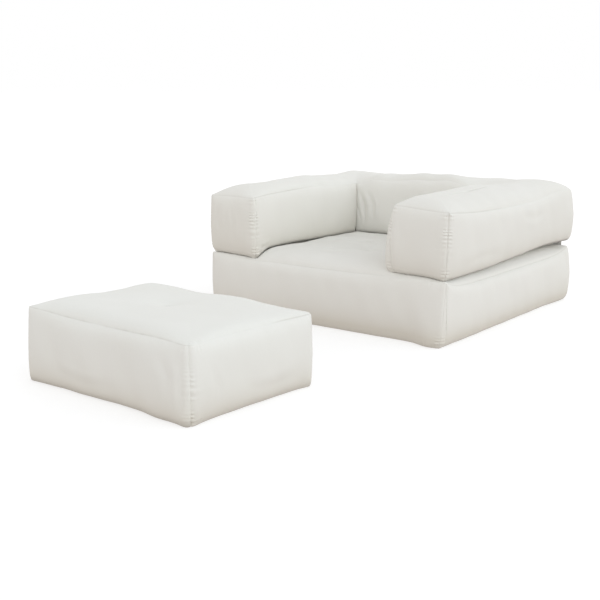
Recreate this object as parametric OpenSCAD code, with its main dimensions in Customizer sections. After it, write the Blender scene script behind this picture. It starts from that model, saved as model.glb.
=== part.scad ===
// Chair bed: a seat mattress, a U-shaped surround that folds back on a fabric hinge, and a footstool.
// The origin is the centre of the seat's underside. The front faces -Y and +Z is up.

/* [Chair] */
// Width of the chair at its corners
chair_w = 1000; // [900:10:1100]
// Depth of the chair from front to back
chair_d = 1000; // [900:10:1100]
// Height of the seat mattress at its corners
seat_h = 220; // [180:5:260]
// Height of the arms and the back at their corners
surround_h = 218; // [180:2:260]
// Width of one arm
arm_w = 210; // [170:5:250]
// Thickness of the back from front to rear
back_d = 340; // [280:5:400]

/* [Footstool] */
// Long side of the footstool
stool_w = 660; // [560:10:700]
// Short side of the footstool
stool_d = 474; // [400:2:500]
// Height of the footstool at its corners
stool_h = 216; // [180:2:260]
// Distance of the footstool's middle in front of the chair's front face
stool_ahead = 819; // [800:1:1100]
// Distance of the footstool's middle to the right of the chair's middle
stool_right = 57; // [0:1:120]
// Turn of the footstool in plan, in degrees
stool_yaw = -3.27; // [-10:0.01:10]

/* [Filling] */
// Rise of the seat's top between the arms
seat_crown = 28; // [8:1:34]
// Rise of the surround's ridge above its corners, halfway along an arm
surround_crown = 42; // [16:1:48]
// Rise of the surround's ridge at its rear corners
corner_crown = 30; // [8:1:40]
// Rise of the footstool's top above its corners
stool_crown = 24; // [8:1:34]
// Swell of a side panel at half its height
side_swell = 14; // [4:1:18]
// Swell of the rear panels that carry the zips
rear_swell = 4; // [2:1:8]
// Draw of a long seam towards the middle between two corners
seam_draw = 8; // [2:1:12]
// Draw of each corner seam
corner_draw = 6; // [2:1:10]
// Width of the soft edge that rolls under to the base
base_roll = 6; // [4:1:18]

/* [Seams] */
// Drop of the seat's front top seam at its middle
seat_front_drop = 8; // [2:1:16]
// Drop of the seat's side top seams, which leaves a wedge under the arms
seat_side_drop = 34; // [4:1:40]
// Drop of the seat's rear top seam
seat_rear_drop = 14; // [4:1:20]
// Drop of the arms' outer top seams
arm_drop = 20; // [4:1:26]
// Rise of the arms' inner top seams
arm_rise = 14; // [2:1:24]
// Drop of the back's rear top seam
back_drop = 10; // [2:1:20]
// Rise of the back's inner top seam
back_rise = 36; // [4:1:44]
// Drop of the seams at the fronts of the arms
arm_front_drop = 2; // [1:1:10]
// Rise of the surround's lower edge between two corners
arm_lift = 10; // [2:1:16]
// Drop of the footstool's top seams
stool_drop = 7; // [4:1:22]

/* [Cover] */
// Thickness of the cotton cover with its lining
cover_t = 3; // [1.5:0.5:5]
// Width of the groove at a seam
seam_gap = 0.5; // [0.3:0.1:1]
// Clearance between the foam and the cover on top of it
foam_clear = 2; // [1.6:0.1:3]
// Clearance between the side panels and the foam
foam_side_clear = 3; // [2.5:0.1:5]
// Gap between two foam blocks inside the surround
foam_joint = 5; // [4:0.5:10]
// Clearance under the surround on the seat, and under the foam on its base
rest_gap = 0.4; // [0.3:0.1:1]

/* [Tufts] */
// Depth of the dimple that a tuft pulls
tuft_depth = 18; // [6:1:24]
// Radius of the dimple
tuft_reach = 60; // [40:5:90]
// Radius of a tuft's button
button_r = 6; // [4:0.5:12]
// Thickness of a tuft's button
button_t = 2.5; // [2:0.5:6]
// Radius of a tuft's cord
tie_r = 2; // [1:0.25:3]
// Radius of the disc that anchors a tuft's cord
anchor_r = 15; // [8:1:20]
// Thickness of that disc
anchor_t = 3; // [2:0.5:5]
// Clearance around a tuft
tuft_clear = 0.35; // [0.3:0.05:1]

/* [Hinge] */
// Width of the fabric hinge
hinge_w = 860; // [600:10:880]
// Thickness of a hinge flap
flap_t = 1.5; // [1:0.1:2]
// Distance of each flap's edge from the fold line
fold_seam = 2; // [1.6:0.1:4]
// Clearance between the folded-out surround and the floor, and between the two rear faces
fold_clear = 0.5; // [0.3:0.1:2]

/* [Zips] */
// Height of the zip tape
tape_w = 24; // [16:1:30]
// Thickness of the zip tape
tape_t = 0.8; // [0.5:0.1:1.2]
// Height of the row of zip teeth
teeth_w = 5; // [3:0.5:8]
// Thickness of the row of zip teeth
teeth_t = 1.4; // [1:0.1:2]
// Length of the zips of the seat and the surround
zip_l = 640; // [400:10:680]
// Length of the footstool's zip
stool_zip_l = 400; // [300:10:420]
// Length of a slider
slider_l = 12; // [8:1:16]
// Height of a slider
slider_w = 9; // [8.5:0.5:12]
// Thickness of a slider's plate
slider_t = 1.2; // [0.8:0.1:1.6]
// Length of a slider's pull tab
pull_l = 26; // [18:1:34]
// Width of a slider's pull tab
pull_w = 6; // [4:0.5:8]
// Clearance around the zips
zip_clear = 0.3; // [0.3:0.05:0.6]

/* [Hidden] */

fabric_color = [0.91, 0.91, 0.89];
side_color = [0.87, 0.86, 0.83];
base_color = [0.80, 0.79, 0.75];
foam_color = [0.93, 0.87, 0.68];
zip_color = [0.84, 0.83, 0.80];
metal_color = [0.72, 0.72, 0.74];

half_w = chair_w / 2;
half_d = chair_d / 2;
well_w = half_w - arm_w;
well_rear = half_d - back_d;
well_mid = (well_rear - half_d) / 2;
well_half_d = (well_rear + half_d) / 2;
surround_z = seat_h + rest_gap;
surround_top = surround_z + surround_h;
stool_y = -half_d - stool_ahead;

// A side panel's rows from the base seam to the top seam: share of height, of swell, and of base roll
row_shares = [[0, 0, 1], [0.12, 0.45, 0.15], [0.5, 1, 0], [0.88, 0.5, 0], [1, 0, 0]];
core_row_shares = [[0.5, 1, 0], [0, 0, 1]];
// Where a corner's draw starts, as a share of half a side
corner_share = 0.94;
// How flat a swell or a drop stays between two corners: the higher, the flatter
side_power = 6;
rear_power = 12;
seat_power = 8;

function lerp(a, b, s) = a + (b - a) * s;
function both(v) = concat([for (i = [len(v) - 1:-1:0]) -v[i]], v);
function backwards(v) = [for (i = [len(v) - 1:-1:0]) v[i]];
function unit(v) = v / norm(v);
function arch(t) = 1 - pow(2 * t - 1, 2);
function corner(u) = pow(max(0, (abs(u) - corner_share) / (1 - corner_share)), 2);
function level(t, power) = 1 - pow(abs(2 * t - 1), power);

// The dimple of a tuft: level under its button and round its cord, then rising softly
tuft_flat = button_r + 2 * tuft_clear + tie_r;
function dimple(r) = tuft_depth * exp(-pow(max(0, r - sqrt(2) * tuft_flat) / tuft_reach, 2));

// An edge of a cushion in plan: first corner and how it moves as the outline shrinks, the same for the
// last corner, the outward direction, which corners are drawn in, the draw of its top seam, the swell
// of its side and how level that is, the drop of its top seam and how level that is, and the lift of
// its lower edge
function edge(p0, k0, p1, k1, n, c0, c1, draw, swell, swell_power, drop, drop_power, lift) =
    [p0, k0, p1, k1, n, c0, c1, draw, swell, swell_power, drop, drop_power, lift];
function edge_plan(e, t, inset, drawn) =
    let (q0 = e[0] + e[1] * inset,
        q1 = e[2] + e[3] * inset,
        s = 2 * t - 1,
        pull = corner_draw * corner(s) * (s < 0 ? e[5] : e[6]))
    lerp(q0, q1, t) - e[4] * (drawn * e[7] * arch(t) + pull) - unit(q1 - q0) * sign(s) * pull;
function edge_swell(e, t) = e[8] * level(t, e[9]);
function edge_drop(e, t) = e[10] * level(t, e[11]);
function edge_point(e, t, row, inset, z0, z1, skin) =
    let (p = edge_plan(e, t, inset + base_roll * row[2], row[0]) + e[4] * row[1] * edge_swell(e, t),
        top = z1 - edge_drop(e, t),
        lift = e[12] * arch(t) * row[1] * (row[0] < 0.5 ? 1 : 0))
    [p[0], p[1], lerp(z0 + skin, top - skin, row[0]) + lift];
function edge_grid(e, ts, z0, z1, inset) =
    [for (row = row_shares) [for (t = ts)
        edge_point(e, t, row, row[2] == 1 ? 0 : inset, z0, z1, inset)]];

// A closed sheet between an outer and an inner grid of points
function quad(a, b, c, d, flip) = flip ? [[a, b, c], [a, c, d]] : [[a, c, b], [a, d, c]];
function rim(rows, cols) = concat(
    [for (c = [0:cols - 2]) c],
    [for (r = [0:rows - 2]) r * cols + cols - 1],
    [for (c = [cols - 1:-1:1]) (rows - 1) * cols + c],
    [for (r = [rows - 1:-1:1]) r * cols]);
function sheet_faces(rows, cols, off, flip, other = false) =
    [for (r = [0:rows - 2], c = [0:cols - 2])
        let (a = off + r * cols + c, b = a + 1, d = a + cols, e = d + 1)
        each other ? quad(b, e, d, a, flip) : quad(a, b, e, d, flip)];
function flat_list(grid) = [for (row = grid, p = row) p];
module sheet(outer, inner, flip = false) {
    rows = len(outer);
    cols = len(outer[0]);
    edge_ids = rim(rows, cols);
    n = len(edge_ids);
    total = rows * cols;
    sides = [for (i = [0:n - 1], f = quad(edge_ids[i], total + edge_ids[i],
        total + edge_ids[(i + 1) % n], edge_ids[(i + 1) % n], flip)) f];
    polyhedron(points = concat(flat_list(outer), flat_list(inner)),
        faces = concat(sheet_faces(rows, cols, 0, flip), sheet_faces(rows, cols, total, !flip), sides),
        convexity = 6);
}

// A solid block: a grid on top, rings of points round its sides and a flat underside
module block(top, rings, flip = false, other = false) {
    rows = len(top);
    cols = len(top[0]);
    edge_ids = rim(rows, cols);
    n = len(edge_ids);
    total = rows * cols;
    ids = concat([edge_ids], [for (k = [0:len(rings) - 1]) [for (i = [0:n - 1]) total + k * n + i]]);
    sides = [for (k = [0:len(rings) - 1], i = [0:n - 1],
        f = quad(ids[k][i], ids[k + 1][i], ids[k + 1][(i + 1) % n], ids[k][(i + 1) % n], flip)) f];
    last = ids[len(rings)];
    polyhedron(points = concat(flat_list(top), flat_list(rings)),
        faces = concat(sheet_faces(rows, cols, 0, flip, other), sides, [flip ? backwards(last) : last]),
        convexity = 4);
}

module plate(outline, z) {
    translate([0, 0, z]) linear_extrude(cover_t) polygon(outline);
}

// A tuft: a button on the cover, a cord through the filling and a disc that anchors it
button_edge_share = 0.5;
button_flat_share = 0.6;
overrun = 1;
module tuft(z_top, z_base) {
    button_z = z_top + tuft_clear;
    rotate_extrude($fn = 48) polygon([[0, button_z], [button_r, button_z],
        [button_r, button_z + button_t * button_edge_share],
        [button_r * button_flat_share, button_z + button_t], [0, button_z + button_t]]);
    anchor_z = z_base + cover_t + tuft_clear;
    translate([0, 0, anchor_z]) cylinder(r = tie_r, h = button_z + overrun - anchor_z, $fn = 24);
    translate([0, 0, anchor_z]) cylinder(r = anchor_r, h = anchor_t, $fn = 48);
}
module tie_hole(z0, z1) {
    translate([0, 0, z0]) cylinder(r = tie_r + tuft_clear, h = z1 - z0, $fn = 24);
}
module anchor_recess(z_base) {
    translate([0, 0, z_base])
        cylinder(r = anchor_r + tuft_clear, h = cover_t + anchor_t + 2 * tuft_clear, $fn = 48);
}

// A zip on a rear panel that faces +Y at y: tape and teeth, and the slider at the start of its travel
module zip(length, y, z) {
    translate([-length / 2, y + zip_clear, z - tape_w / 2]) cube([length, tape_t, tape_w]);
    translate([-length / 2, y + zip_clear + tape_t, z - teeth_w / 2]) cube([length, teeth_t, teeth_w]);
}
module slider(length, y, z) {
    teeth_y = y + zip_clear + tape_t;
    plate_y = teeth_y + teeth_t + zip_clear;
    lip = (slider_w - teeth_w) / 2 - zip_clear;
    translate([-length / 2, plate_y, z - slider_w / 2]) cube([slider_l, slider_t, slider_w]);
    for (s = [-1, 1])
        translate([-length / 2, teeth_y + zip_clear, z + s * (slider_w - lip) / 2 - lip / 2])
            cube([slider_l, plate_y + slider_t - teeth_y - zip_clear, lip]);
    translate([-length / 2 + (slider_l - pull_w) / 2, plate_y + slider_t, z + slider_w / 2 - pull_l])
        cube([pull_w, pull_t, pull_l]);
}

// The seat mattress
seat_well_shares = [0.4, 0.74, 0.92, 1];
seat_arm_shares = [0.4, 0.93, 1];
seat_front_shares = [0, 0.05, 0.2, 0.45, 0.8];
seat_rear_well_shares = [0.35, 0.7, 0.92, 1];
seat_back_shares = [0.3, 0.66, 0.94, 1];
front_zone_share = 0.75;
seat_us = both(concat([tuft_flat / half_w], [for (s = seat_well_shares) s * well_w / half_w],
    [for (s = seat_arm_shares) lerp(well_w / half_w, 1, s)]));
seat_vs = concat([for (s = seat_front_shares) lerp(-1, (well_mid - tuft_flat) / half_d, s)],
    [(well_mid - tuft_flat) / half_d, (well_mid + tuft_flat) / half_d],
    [for (s = seat_rear_well_shares) lerp((well_mid + tuft_flat) / half_d, well_rear / half_d, s)],
    [for (s = seat_back_shares) lerp(well_rear / half_d, 1, s)]);
function seat_z(u, v) =
    let (x = abs(u) * half_w,
        y = v * half_d,
        xn = min(1, x / well_w),
        yn = min(1, abs(y - well_mid) / well_half_d),
        crown = seat_crown * (1 - pow(xn, seat_power)) * (1 - pow(yn, seat_power)),
        side = seat_side_drop * (1 - pow(abs(v), side_power)) * pow(max(0, x - well_w) / arm_w, 2),
        front_zone = max(0, -v - front_zone_share) / (1 - front_zone_share),
        front = seat_front_drop * (1 - u * u) * pow(front_zone, 2),
        rear = seat_rear_drop * (1 - u * u) * pow(max(0, y - well_rear) / back_d, 2))
    seat_h + crown - side - front - rear
        - (xn < 1 && yn < 1 ? dimple(norm([x, y - well_mid])) : 0);
seat_edges = box_edges(half_w, half_d, seat_front_drop, seat_side_drop, seat_rear_drop, side_power);

// The four edges of a box cushion: front, right, rear and left
function box_edges(a, b, front_drop, side_drop, rear_drop, side_level) = [
    edge([-a, -b], [1, 1], [a, -b], [-1, 1], [0, -1], 1, 1, seam_draw, side_swell, side_power,
        front_drop, 2, 0),
    edge([a, -b], [-1, 1], [a, b], [-1, -1], [1, 0], 1, 1, seam_draw, side_swell, side_power,
        side_drop, side_level, 0),
    edge([a, b], [-1, -1], [-a, b], [1, -1], [0, 1], 1, 1, 0, rear_swell, rear_power, rear_drop, 2, 0),
    edge([-a, b], [1, -1], [-a, -b], [1, 1], [-1, 0], 1, 1, seam_draw, side_swell, side_power,
        side_drop, side_level, 0)];
function box_ts(us, vs, side) = [for (u = side == 0 ? us : side == 1 ? vs : backwards(side == 2 ? us : vs))
    (side < 2 ? 1 + u : 1 - u) / 2];
function box_plan(a, b, u, v, inset, draw) =
    let (pull = corner_draw * corner(u) * corner(v))
    [u * (a - inset - draw * (1 - v * v)) - sign(u) * pull,
        v * (b - inset - (v < 0 ? draw : 0) * (1 - u * u)) - sign(v) * pull];
function box_rim(us, vs) = concat([for (u = us) [u, -1]], [for (i = [1:len(vs) - 1]) [1, vs[i]]],
    [for (i = [len(us) - 2:-1:0]) [us[i], 1]], [for (i = [len(vs) - 2:-1:1]) [-1, vs[i]]]);
function base_outline(a, b, us, vs) = [for (q = box_rim(us, vs))
    box_plan(a, b, q[0], q[1], base_roll + seam_gap, 0)];
function box_ring(edges, us, vs, row, z0, z1) = [for (i = [0:3]) each let (ts = box_ts(us, vs, i))
    [for (k = [0:len(ts) - 2]) edge_point(edges[i], ts[k], row, foam_in, z0, z1, foam_up)]];

foam_down = cover_t + foam_clear;
foam_up = cover_t + rest_gap;
foam_in = cover_t + foam_side_clear;
function seat_grid(inset, down) = [for (v = seat_vs) [for (u = seat_us)
    let (p = box_plan(half_w, half_d, u, v, inset, seam_draw)) [p[0], p[1], seat_z(u, v) - down]]];
module seat_side(i) {
    ts = box_ts(seat_us, seat_vs, i);
    sheet(edge_grid(seat_edges[i], ts, 0, seat_h, 0), edge_grid(seat_edges[i], ts, 0, seat_h, cover_t));
}
seat_tuft_z = seat_z(0, well_mid / half_d);

module seat_top_panel() {
    color(fabric_color) difference() {
        sheet(seat_grid(seam_gap, 0), seat_grid(seam_gap + cover_t, cover_t));
        translate([0, well_mid, 0]) tie_hole(seat_tuft_z - 2 * cover_t, seat_tuft_z + overrun);
    }
}
module seat_front_panel() {
    color(side_color) seat_side(0);
}
module seat_right_panel() {
    color(side_color) seat_side(1);
}
module seat_rear_panel() {
    color(side_color) seat_side(2);
}
module seat_left_panel() {
    color(side_color) seat_side(3);
}
module seat_base_panel() {
    color(base_color) plate(base_outline(half_w, half_d, seat_us, seat_vs), 0);
}
module seat_foam_core() {
    color(foam_color) difference() {
        block(seat_grid(foam_in, foam_down), [for (row = core_row_shares)
            box_ring(seat_edges, seat_us, seat_vs, row, 0, seat_h)]);
        translate([0, well_mid, 0]) tie_hole(0, seat_tuft_z);
        translate([0, well_mid, 0]) anchor_recess(0);
    }
}
module seat_tuft() {
    color(fabric_color) translate([0, well_mid, 0]) tuft(seat_tuft_z, 0);
}
module seat_zip() {
    color(zip_color) zip(zip_l, half_d + rear_swell, seat_h / 2);
}
module seat_zip_slider() {
    color(metal_color) slider(zip_l, half_d + rear_swell, seat_h / 2);
}

// The fabric hinge: each flap is sewn to a rear panel near its seam and ends at the fold line
hinge_shares = [0, 0.1, 0.25, 0.5, 0.75, 0.9, 1];
seat_flap_shares = [[0.82, 0.62, 0], [0.93, 0.3, 0]];
surround_flap_shares = [[0.24, 0.72, 0.08], [0.14, 0.5, 0.13]];
function flap_end(from, turn, depth) =
    let (d = unit([fold_y, fold_z] - from))
    [fold_y, fold_z] - d * fold_seam - turn * depth * [d[1], -d[0]];
function flap_grid(e, rows, z0, z1, depth, turn) = [for (row = [0:2]) [for (s = hinge_shares)
    let (x = lerp(-hinge_w, hinge_w, s) / 2,
        t = e[0][0] < 0 ? (1 + x / half_w) / 2 : (1 - x / half_w) / 2,
        sunk = row < 2 ? depth - rest_gap - flap_t : -rest_gap - flap_t,
        p = edge_point(e, t, rows[min(row, 1)], sunk, z0, z1, 0),
        q = row < 2 ? [p[1], p[2]] : flap_end([p[1], p[2]], turn, depth))
    [x, q[0], q[1]]]];
module flap(e, rows, z0, z1, turn, flip) {
    sheet(flap_grid(e, rows, z0, z1, 0, turn), flap_grid(e, rows, z0, z1, flap_t, turn), flip);
}
module seat_hinge_flap() {
    color(side_color) flap(seat_edges[2], seat_flap_shares, 0, seat_h, 1, true);
}

// The surround: stations along each arm and across the back, and places across its width
arm_t_shares = [0, 0.02, 0.08, 0.18, 0.34, 0.5, 0.66, 0.82, 0.94, 1];
back_t_shares = [0, 0.08, 0.22, 0.36, 0.5, 0.64, 0.78, 0.92, 1];
across_shares = [0, 0.06, 0.2, 0.5, 0.8, 0.94, 1];
front_taper = arm_w / 2;
outer_left = edge([-half_w, -half_d], [1, 1], [-half_w, half_d], [1, -1], [-1, 0], 1, 1,
    seam_draw, side_swell, side_power, arm_drop, 2, arm_lift);
outer_rear = edge([-half_w, half_d], [1, -1], [half_w, half_d], [-1, -1], [0, 1], 1, 1,
    0, rear_swell, rear_power, back_drop, 2, arm_lift);
outer_right = edge([half_w, -half_d], [-1, 1], [half_w, half_d], [-1, -1], [1, 0], 1, 1,
    seam_draw, side_swell, side_power, arm_drop, 2, arm_lift);
inner_left = edge([-well_w, -half_d], [-1, 1], [-well_w, well_rear], [-1, 1], [1, 0], 1, 0,
    seam_draw, side_swell, side_power, -arm_rise, 2, 0);
inner_rear = edge([-well_w, well_rear], [-1, 1], [well_w, well_rear], [1, 1], [0, -1], 0, 0,
    seam_draw, side_swell, side_power, -back_rise, 2, 0);
inner_right = edge([well_w, -half_d], [1, 1], [well_w, well_rear], [1, 1], [-1, 0], 1, 0,
    seam_draw, side_swell, side_power, -arm_rise, 2, 0);
front_left = edge([-half_w, -half_d], [1, 1], [-well_w, -half_d], [-1, 1], [0, -1], 1, 1,
    seam_draw / 2, side_swell, side_power, arm_front_drop, 2, 0);
front_right = edge([half_w, -half_d], [-1, 1], [well_w, -half_d], [1, 1], [0, -1], 1, 1,
    seam_draw / 2, side_swell, side_power, arm_front_drop, 2, 0);

// A station runs from the outer seam to the inner one over the ridge. The first one follows an arm's front.
function station(outer, inner, front, t, inset, down) =
    let (capped = t == 0 && front != undef,
        middle = surround_top - (edge_drop(outer, t) + edge_drop(inner, t)) / 2,
        ridge = surround_top + lerp(corner_crown, surround_crown, arch(t)),
        ahead = front == undef ? 1 : min(1, t * chair_d / front_taper),
        rise = (ridge - middle) * arch(ahead / 2))
    [for (s = across_shares)
        let (a = capped ? edge_plan(front, s, inset, 1) : edge_plan(outer, t, inset, 1),
            b = capped ? a : edge_plan(inner, t, inset, 1),
            p = lerp(a, b, s),
            drop = capped ? edge_drop(front, s) : lerp(edge_drop(outer, t), edge_drop(inner, t), s))
        [p[0], p[1], surround_top - drop + rise * arch(s) - down]];
function section(outer, inner, front, ts, inset, down) =
    [for (t = ts) station(outer, inner, front, t, inset, down)];
function tail(v) = [for (i = [1:len(v) - 1]) v[i]];
function surround_grid(inset, down) = concat(
    section(outer_left, inner_left, front_left, arm_t_shares, inset, down),
    tail(section(outer_rear, inner_rear, undef, back_t_shares, inset, down)),
    tail(backwards(section(outer_right, inner_right, front_right, arm_t_shares, inset, down))));
surround_peak = max([for (row = surround_grid(0, 0), p = row) p[2]]);

// The fold line stands behind both zips, and high enough for the folded-out surround to clear the floor
pull_t = slider_t;
zip_stack = zip_clear + tape_t + teeth_t + zip_clear + slider_t + pull_t;
fold_y = half_d + rear_swell + zip_stack + fold_clear;
fold_z = (surround_peak + fold_clear) / 2;

function side_of(e, ts, inset) = edge_grid(e, ts, surround_z, surround_top, inset);
module surround_side(e, ts, flip) {
    sheet(side_of(e, ts, 0), side_of(e, ts, cover_t), flip);
}
function base_line(e, ts) = [for (t = ts) edge_plan(e, t, base_roll + seam_gap, 0)];

// Points round a foam block's side: its front or first mitre, inner edge, last mitre and outer edge
function section_ring(outer, inner, front, ts, row) =
    let (at = function(e, t) edge_point(e, t, row, foam_in, surround_z, surround_top, foam_up),
        n = len(ts) - 1,
        a = at(outer, ts[n]),
        b = at(inner, ts[n]))
    concat(
        [for (s = across_shares)
            front == undef ? lerp(at(outer, ts[0]), at(inner, ts[0]), s) : at(front, s)],
        [for (i = [1:n - 1]) at(inner, ts[i])],
        [for (s = backwards(across_shares)) lerp(a, b, s)],
        [for (i = [n - 1:-1:1]) at(outer, ts[i])]);
arm_core_ts = [for (t = arm_t_shares) min(t, 1 - foam_joint / chair_d)];
back_core_ts = [for (t = back_t_shares) min(max(t, foam_joint / chair_w), 1 - foam_joint / chair_w)];
module foam_section(outer, inner, front, ts, right = false) {
    color(foam_color) block(section(outer, inner, front, ts, foam_in, foam_down),
        [for (row = core_row_shares) section_ring(outer, inner, front, ts, row)], right, right);
}

module surround_top_panel() {
    color(fabric_color) sheet(surround_grid(seam_gap, 0), surround_grid(seam_gap + cover_t, cover_t));
}
module left_arm_outer_panel() {
    color(side_color) surround_side(outer_left, arm_t_shares, true);
}
module back_rear_panel() {
    color(side_color) surround_side(outer_rear, back_t_shares, true);
}
module right_arm_outer_panel() {
    color(side_color) surround_side(outer_right, arm_t_shares, false);
}
module left_arm_inner_panel() {
    color(side_color) surround_side(inner_left, arm_t_shares, false);
}
module back_inner_panel() {
    color(side_color) surround_side(inner_rear, back_t_shares, false);
}
module right_arm_inner_panel() {
    color(side_color) surround_side(inner_right, arm_t_shares, true);
}
module left_arm_front_panel() {
    color(side_color) surround_side(front_left, across_shares, false);
}
module right_arm_front_panel() {
    color(side_color) surround_side(front_right, across_shares, true);
}
module surround_base_panel() {
    color(base_color) plate(concat(
        base_line(front_left, backwards(across_shares)),
        base_line(outer_left, tail(arm_t_shares)),
        base_line(outer_rear, tail(back_t_shares)),
        tail(backwards(base_line(outer_right, arm_t_shares))),
        tail(base_line(front_right, across_shares)),
        tail(base_line(inner_right, arm_t_shares)),
        tail(backwards(base_line(inner_rear, back_t_shares))),
        tail(backwards(base_line(inner_left, tail(arm_t_shares))))), surround_z);
}
module left_arm_foam() {
    foam_section(outer_left, inner_left, front_left, arm_core_ts);
}
module back_foam() {
    foam_section(outer_rear, inner_rear, undef, back_core_ts);
}
module right_arm_foam() {
    foam_section(outer_right, inner_right, front_right, arm_core_ts, true);
}
module surround_hinge_flap() {
    color(side_color) flap(outer_rear, surround_flap_shares, surround_z, surround_top, -1, false);
}
module surround_zip() {
    color(zip_color) zip(zip_l, half_d + rear_swell, surround_z + surround_h / 2);
}
module surround_zip_slider() {
    color(metal_color) slider(zip_l, half_d + rear_swell, surround_z + surround_h / 2);
}

// The footstool, modelled about its own middle and then set in its place
stool_col_shares = [0.14, 0.3, 0.48, 0.7, 0.88, 0.97, 1];
stool_row_shares = [0.18, 0.34, 0.52, 0.72, 0.88, 0.96, 1];
stool_a = stool_w / 2;
stool_b = stool_d / 2;
stool_us = both(concat([tuft_flat / stool_a], stool_col_shares));
stool_vs = both(concat([tuft_flat / stool_b], stool_row_shares));
function stool_z(u, v) =
    stool_h + stool_crown * (1 - pow(abs(u), 3)) * (1 - pow(abs(v), 3))
        - stool_drop * ((1 - u * u) * pow(v, 6) + (1 - v * v) * pow(u, 6))
        - dimple(norm([u * stool_a, v * stool_b]));
stool_edges = box_edges(stool_a, stool_b, stool_drop, stool_drop, stool_drop, 2);
function stool_grid(inset, down) = [for (v = stool_vs) [for (u = stool_us)
    let (p = box_plan(stool_a, stool_b, u, v, inset, seam_draw)) [p[0], p[1], stool_z(u, v) - down]]];
module stool_side(i) {
    ts = box_ts(stool_us, stool_vs, i);
    outer = edge_grid(stool_edges[i], ts, 0, stool_h, 0);
    inner = edge_grid(stool_edges[i], ts, 0, stool_h, cover_t);
    color(side_color) in_place() sheet(outer, inner);
}
module in_place() {
    translate([stool_right, stool_y, 0]) rotate([0, 0, stool_yaw]) children();
}
stool_tuft_z = stool_z(0, 0);

module stool_top_panel() {
    color(fabric_color) in_place() difference() {
        sheet(stool_grid(seam_gap, 0), stool_grid(seam_gap + cover_t, cover_t));
        tie_hole(stool_tuft_z - 2 * cover_t, stool_tuft_z + overrun);
    }
}
module stool_front_panel() {
    stool_side(0);
}
module stool_right_panel() {
    stool_side(1);
}
module stool_rear_panel() {
    stool_side(2);
}
module stool_left_panel() {
    stool_side(3);
}
module stool_base_panel() {
    color(base_color) in_place()
        plate(base_outline(stool_a, stool_b, stool_us, stool_vs), 0);
}
module stool_foam_core() {
    color(foam_color) in_place() difference() {
        block(stool_grid(foam_in, foam_down), [for (row = core_row_shares)
            box_ring(stool_edges, stool_us, stool_vs, row, 0, stool_h)]);
        tie_hole(0, stool_tuft_z);
        anchor_recess(0);
    }
}
module stool_tuft() {
    color(fabric_color) in_place() tuft(stool_tuft_z, 0);
}
module stool_zip() {
    color(zip_color) in_place() zip(stool_zip_l, stool_b + rear_swell, stool_h / 2);
}
module stool_zip_slider() {
    color(metal_color) in_place() slider(stool_zip_l, stool_b + rear_swell, stool_h / 2);
}

seat_top_panel();
seat_front_panel();
seat_right_panel();
seat_rear_panel();
seat_left_panel();
seat_base_panel();
seat_foam_core();
seat_tuft();
seat_hinge_flap();
seat_zip();
seat_zip_slider();
surround_top_panel();
left_arm_outer_panel();
back_rear_panel();
right_arm_outer_panel();
left_arm_inner_panel();
back_inner_panel();
right_arm_inner_panel();
left_arm_front_panel();
right_arm_front_panel();
surround_base_panel();
left_arm_foam();
back_foam();
right_arm_foam();
surround_hinge_flap();
surround_zip();
surround_zip_slider();
stool_top_panel();
stool_front_panel();
stool_right_panel();
stool_rear_panel();
stool_left_panel();
stool_base_panel();
stool_foam_core();
stool_tuft();
stool_zip();
stool_zip_slider();
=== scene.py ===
"""Chair bed: a seat mattress, a U-shaped surround of arms and back on a fabric hinge, and a footstool.
Each cushion starts as a block cut by straight lines, whose places are kept as its reference form. The block is
shaped into its crowned form, takes faint folds from a cloth simulation and is then finished along its seams."""
import math
from dataclasses import dataclass
from typing import Callable

import bmesh
import bpy
import numpy as np
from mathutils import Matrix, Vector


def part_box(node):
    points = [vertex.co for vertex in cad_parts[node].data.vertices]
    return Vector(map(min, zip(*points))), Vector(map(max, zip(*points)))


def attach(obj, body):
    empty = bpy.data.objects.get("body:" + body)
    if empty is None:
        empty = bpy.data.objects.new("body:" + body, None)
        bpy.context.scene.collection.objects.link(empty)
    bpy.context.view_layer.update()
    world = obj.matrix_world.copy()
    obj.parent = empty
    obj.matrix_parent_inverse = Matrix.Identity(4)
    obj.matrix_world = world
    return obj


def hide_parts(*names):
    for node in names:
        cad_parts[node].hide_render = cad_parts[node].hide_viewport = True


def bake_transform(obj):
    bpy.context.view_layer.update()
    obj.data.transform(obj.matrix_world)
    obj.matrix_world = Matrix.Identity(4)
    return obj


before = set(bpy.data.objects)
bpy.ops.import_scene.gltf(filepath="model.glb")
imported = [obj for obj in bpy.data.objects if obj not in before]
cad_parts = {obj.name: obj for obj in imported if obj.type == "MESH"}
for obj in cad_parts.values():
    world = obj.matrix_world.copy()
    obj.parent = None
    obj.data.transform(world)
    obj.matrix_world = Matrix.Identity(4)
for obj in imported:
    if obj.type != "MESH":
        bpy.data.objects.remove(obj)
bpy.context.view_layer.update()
scene = bpy.context.scene
MM = 0.001
FAR = 1e9
TOUCH = 1e-6
TINY = 1e-9
STEP = 10 * MM  # about how far apart the cut lines are

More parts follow.
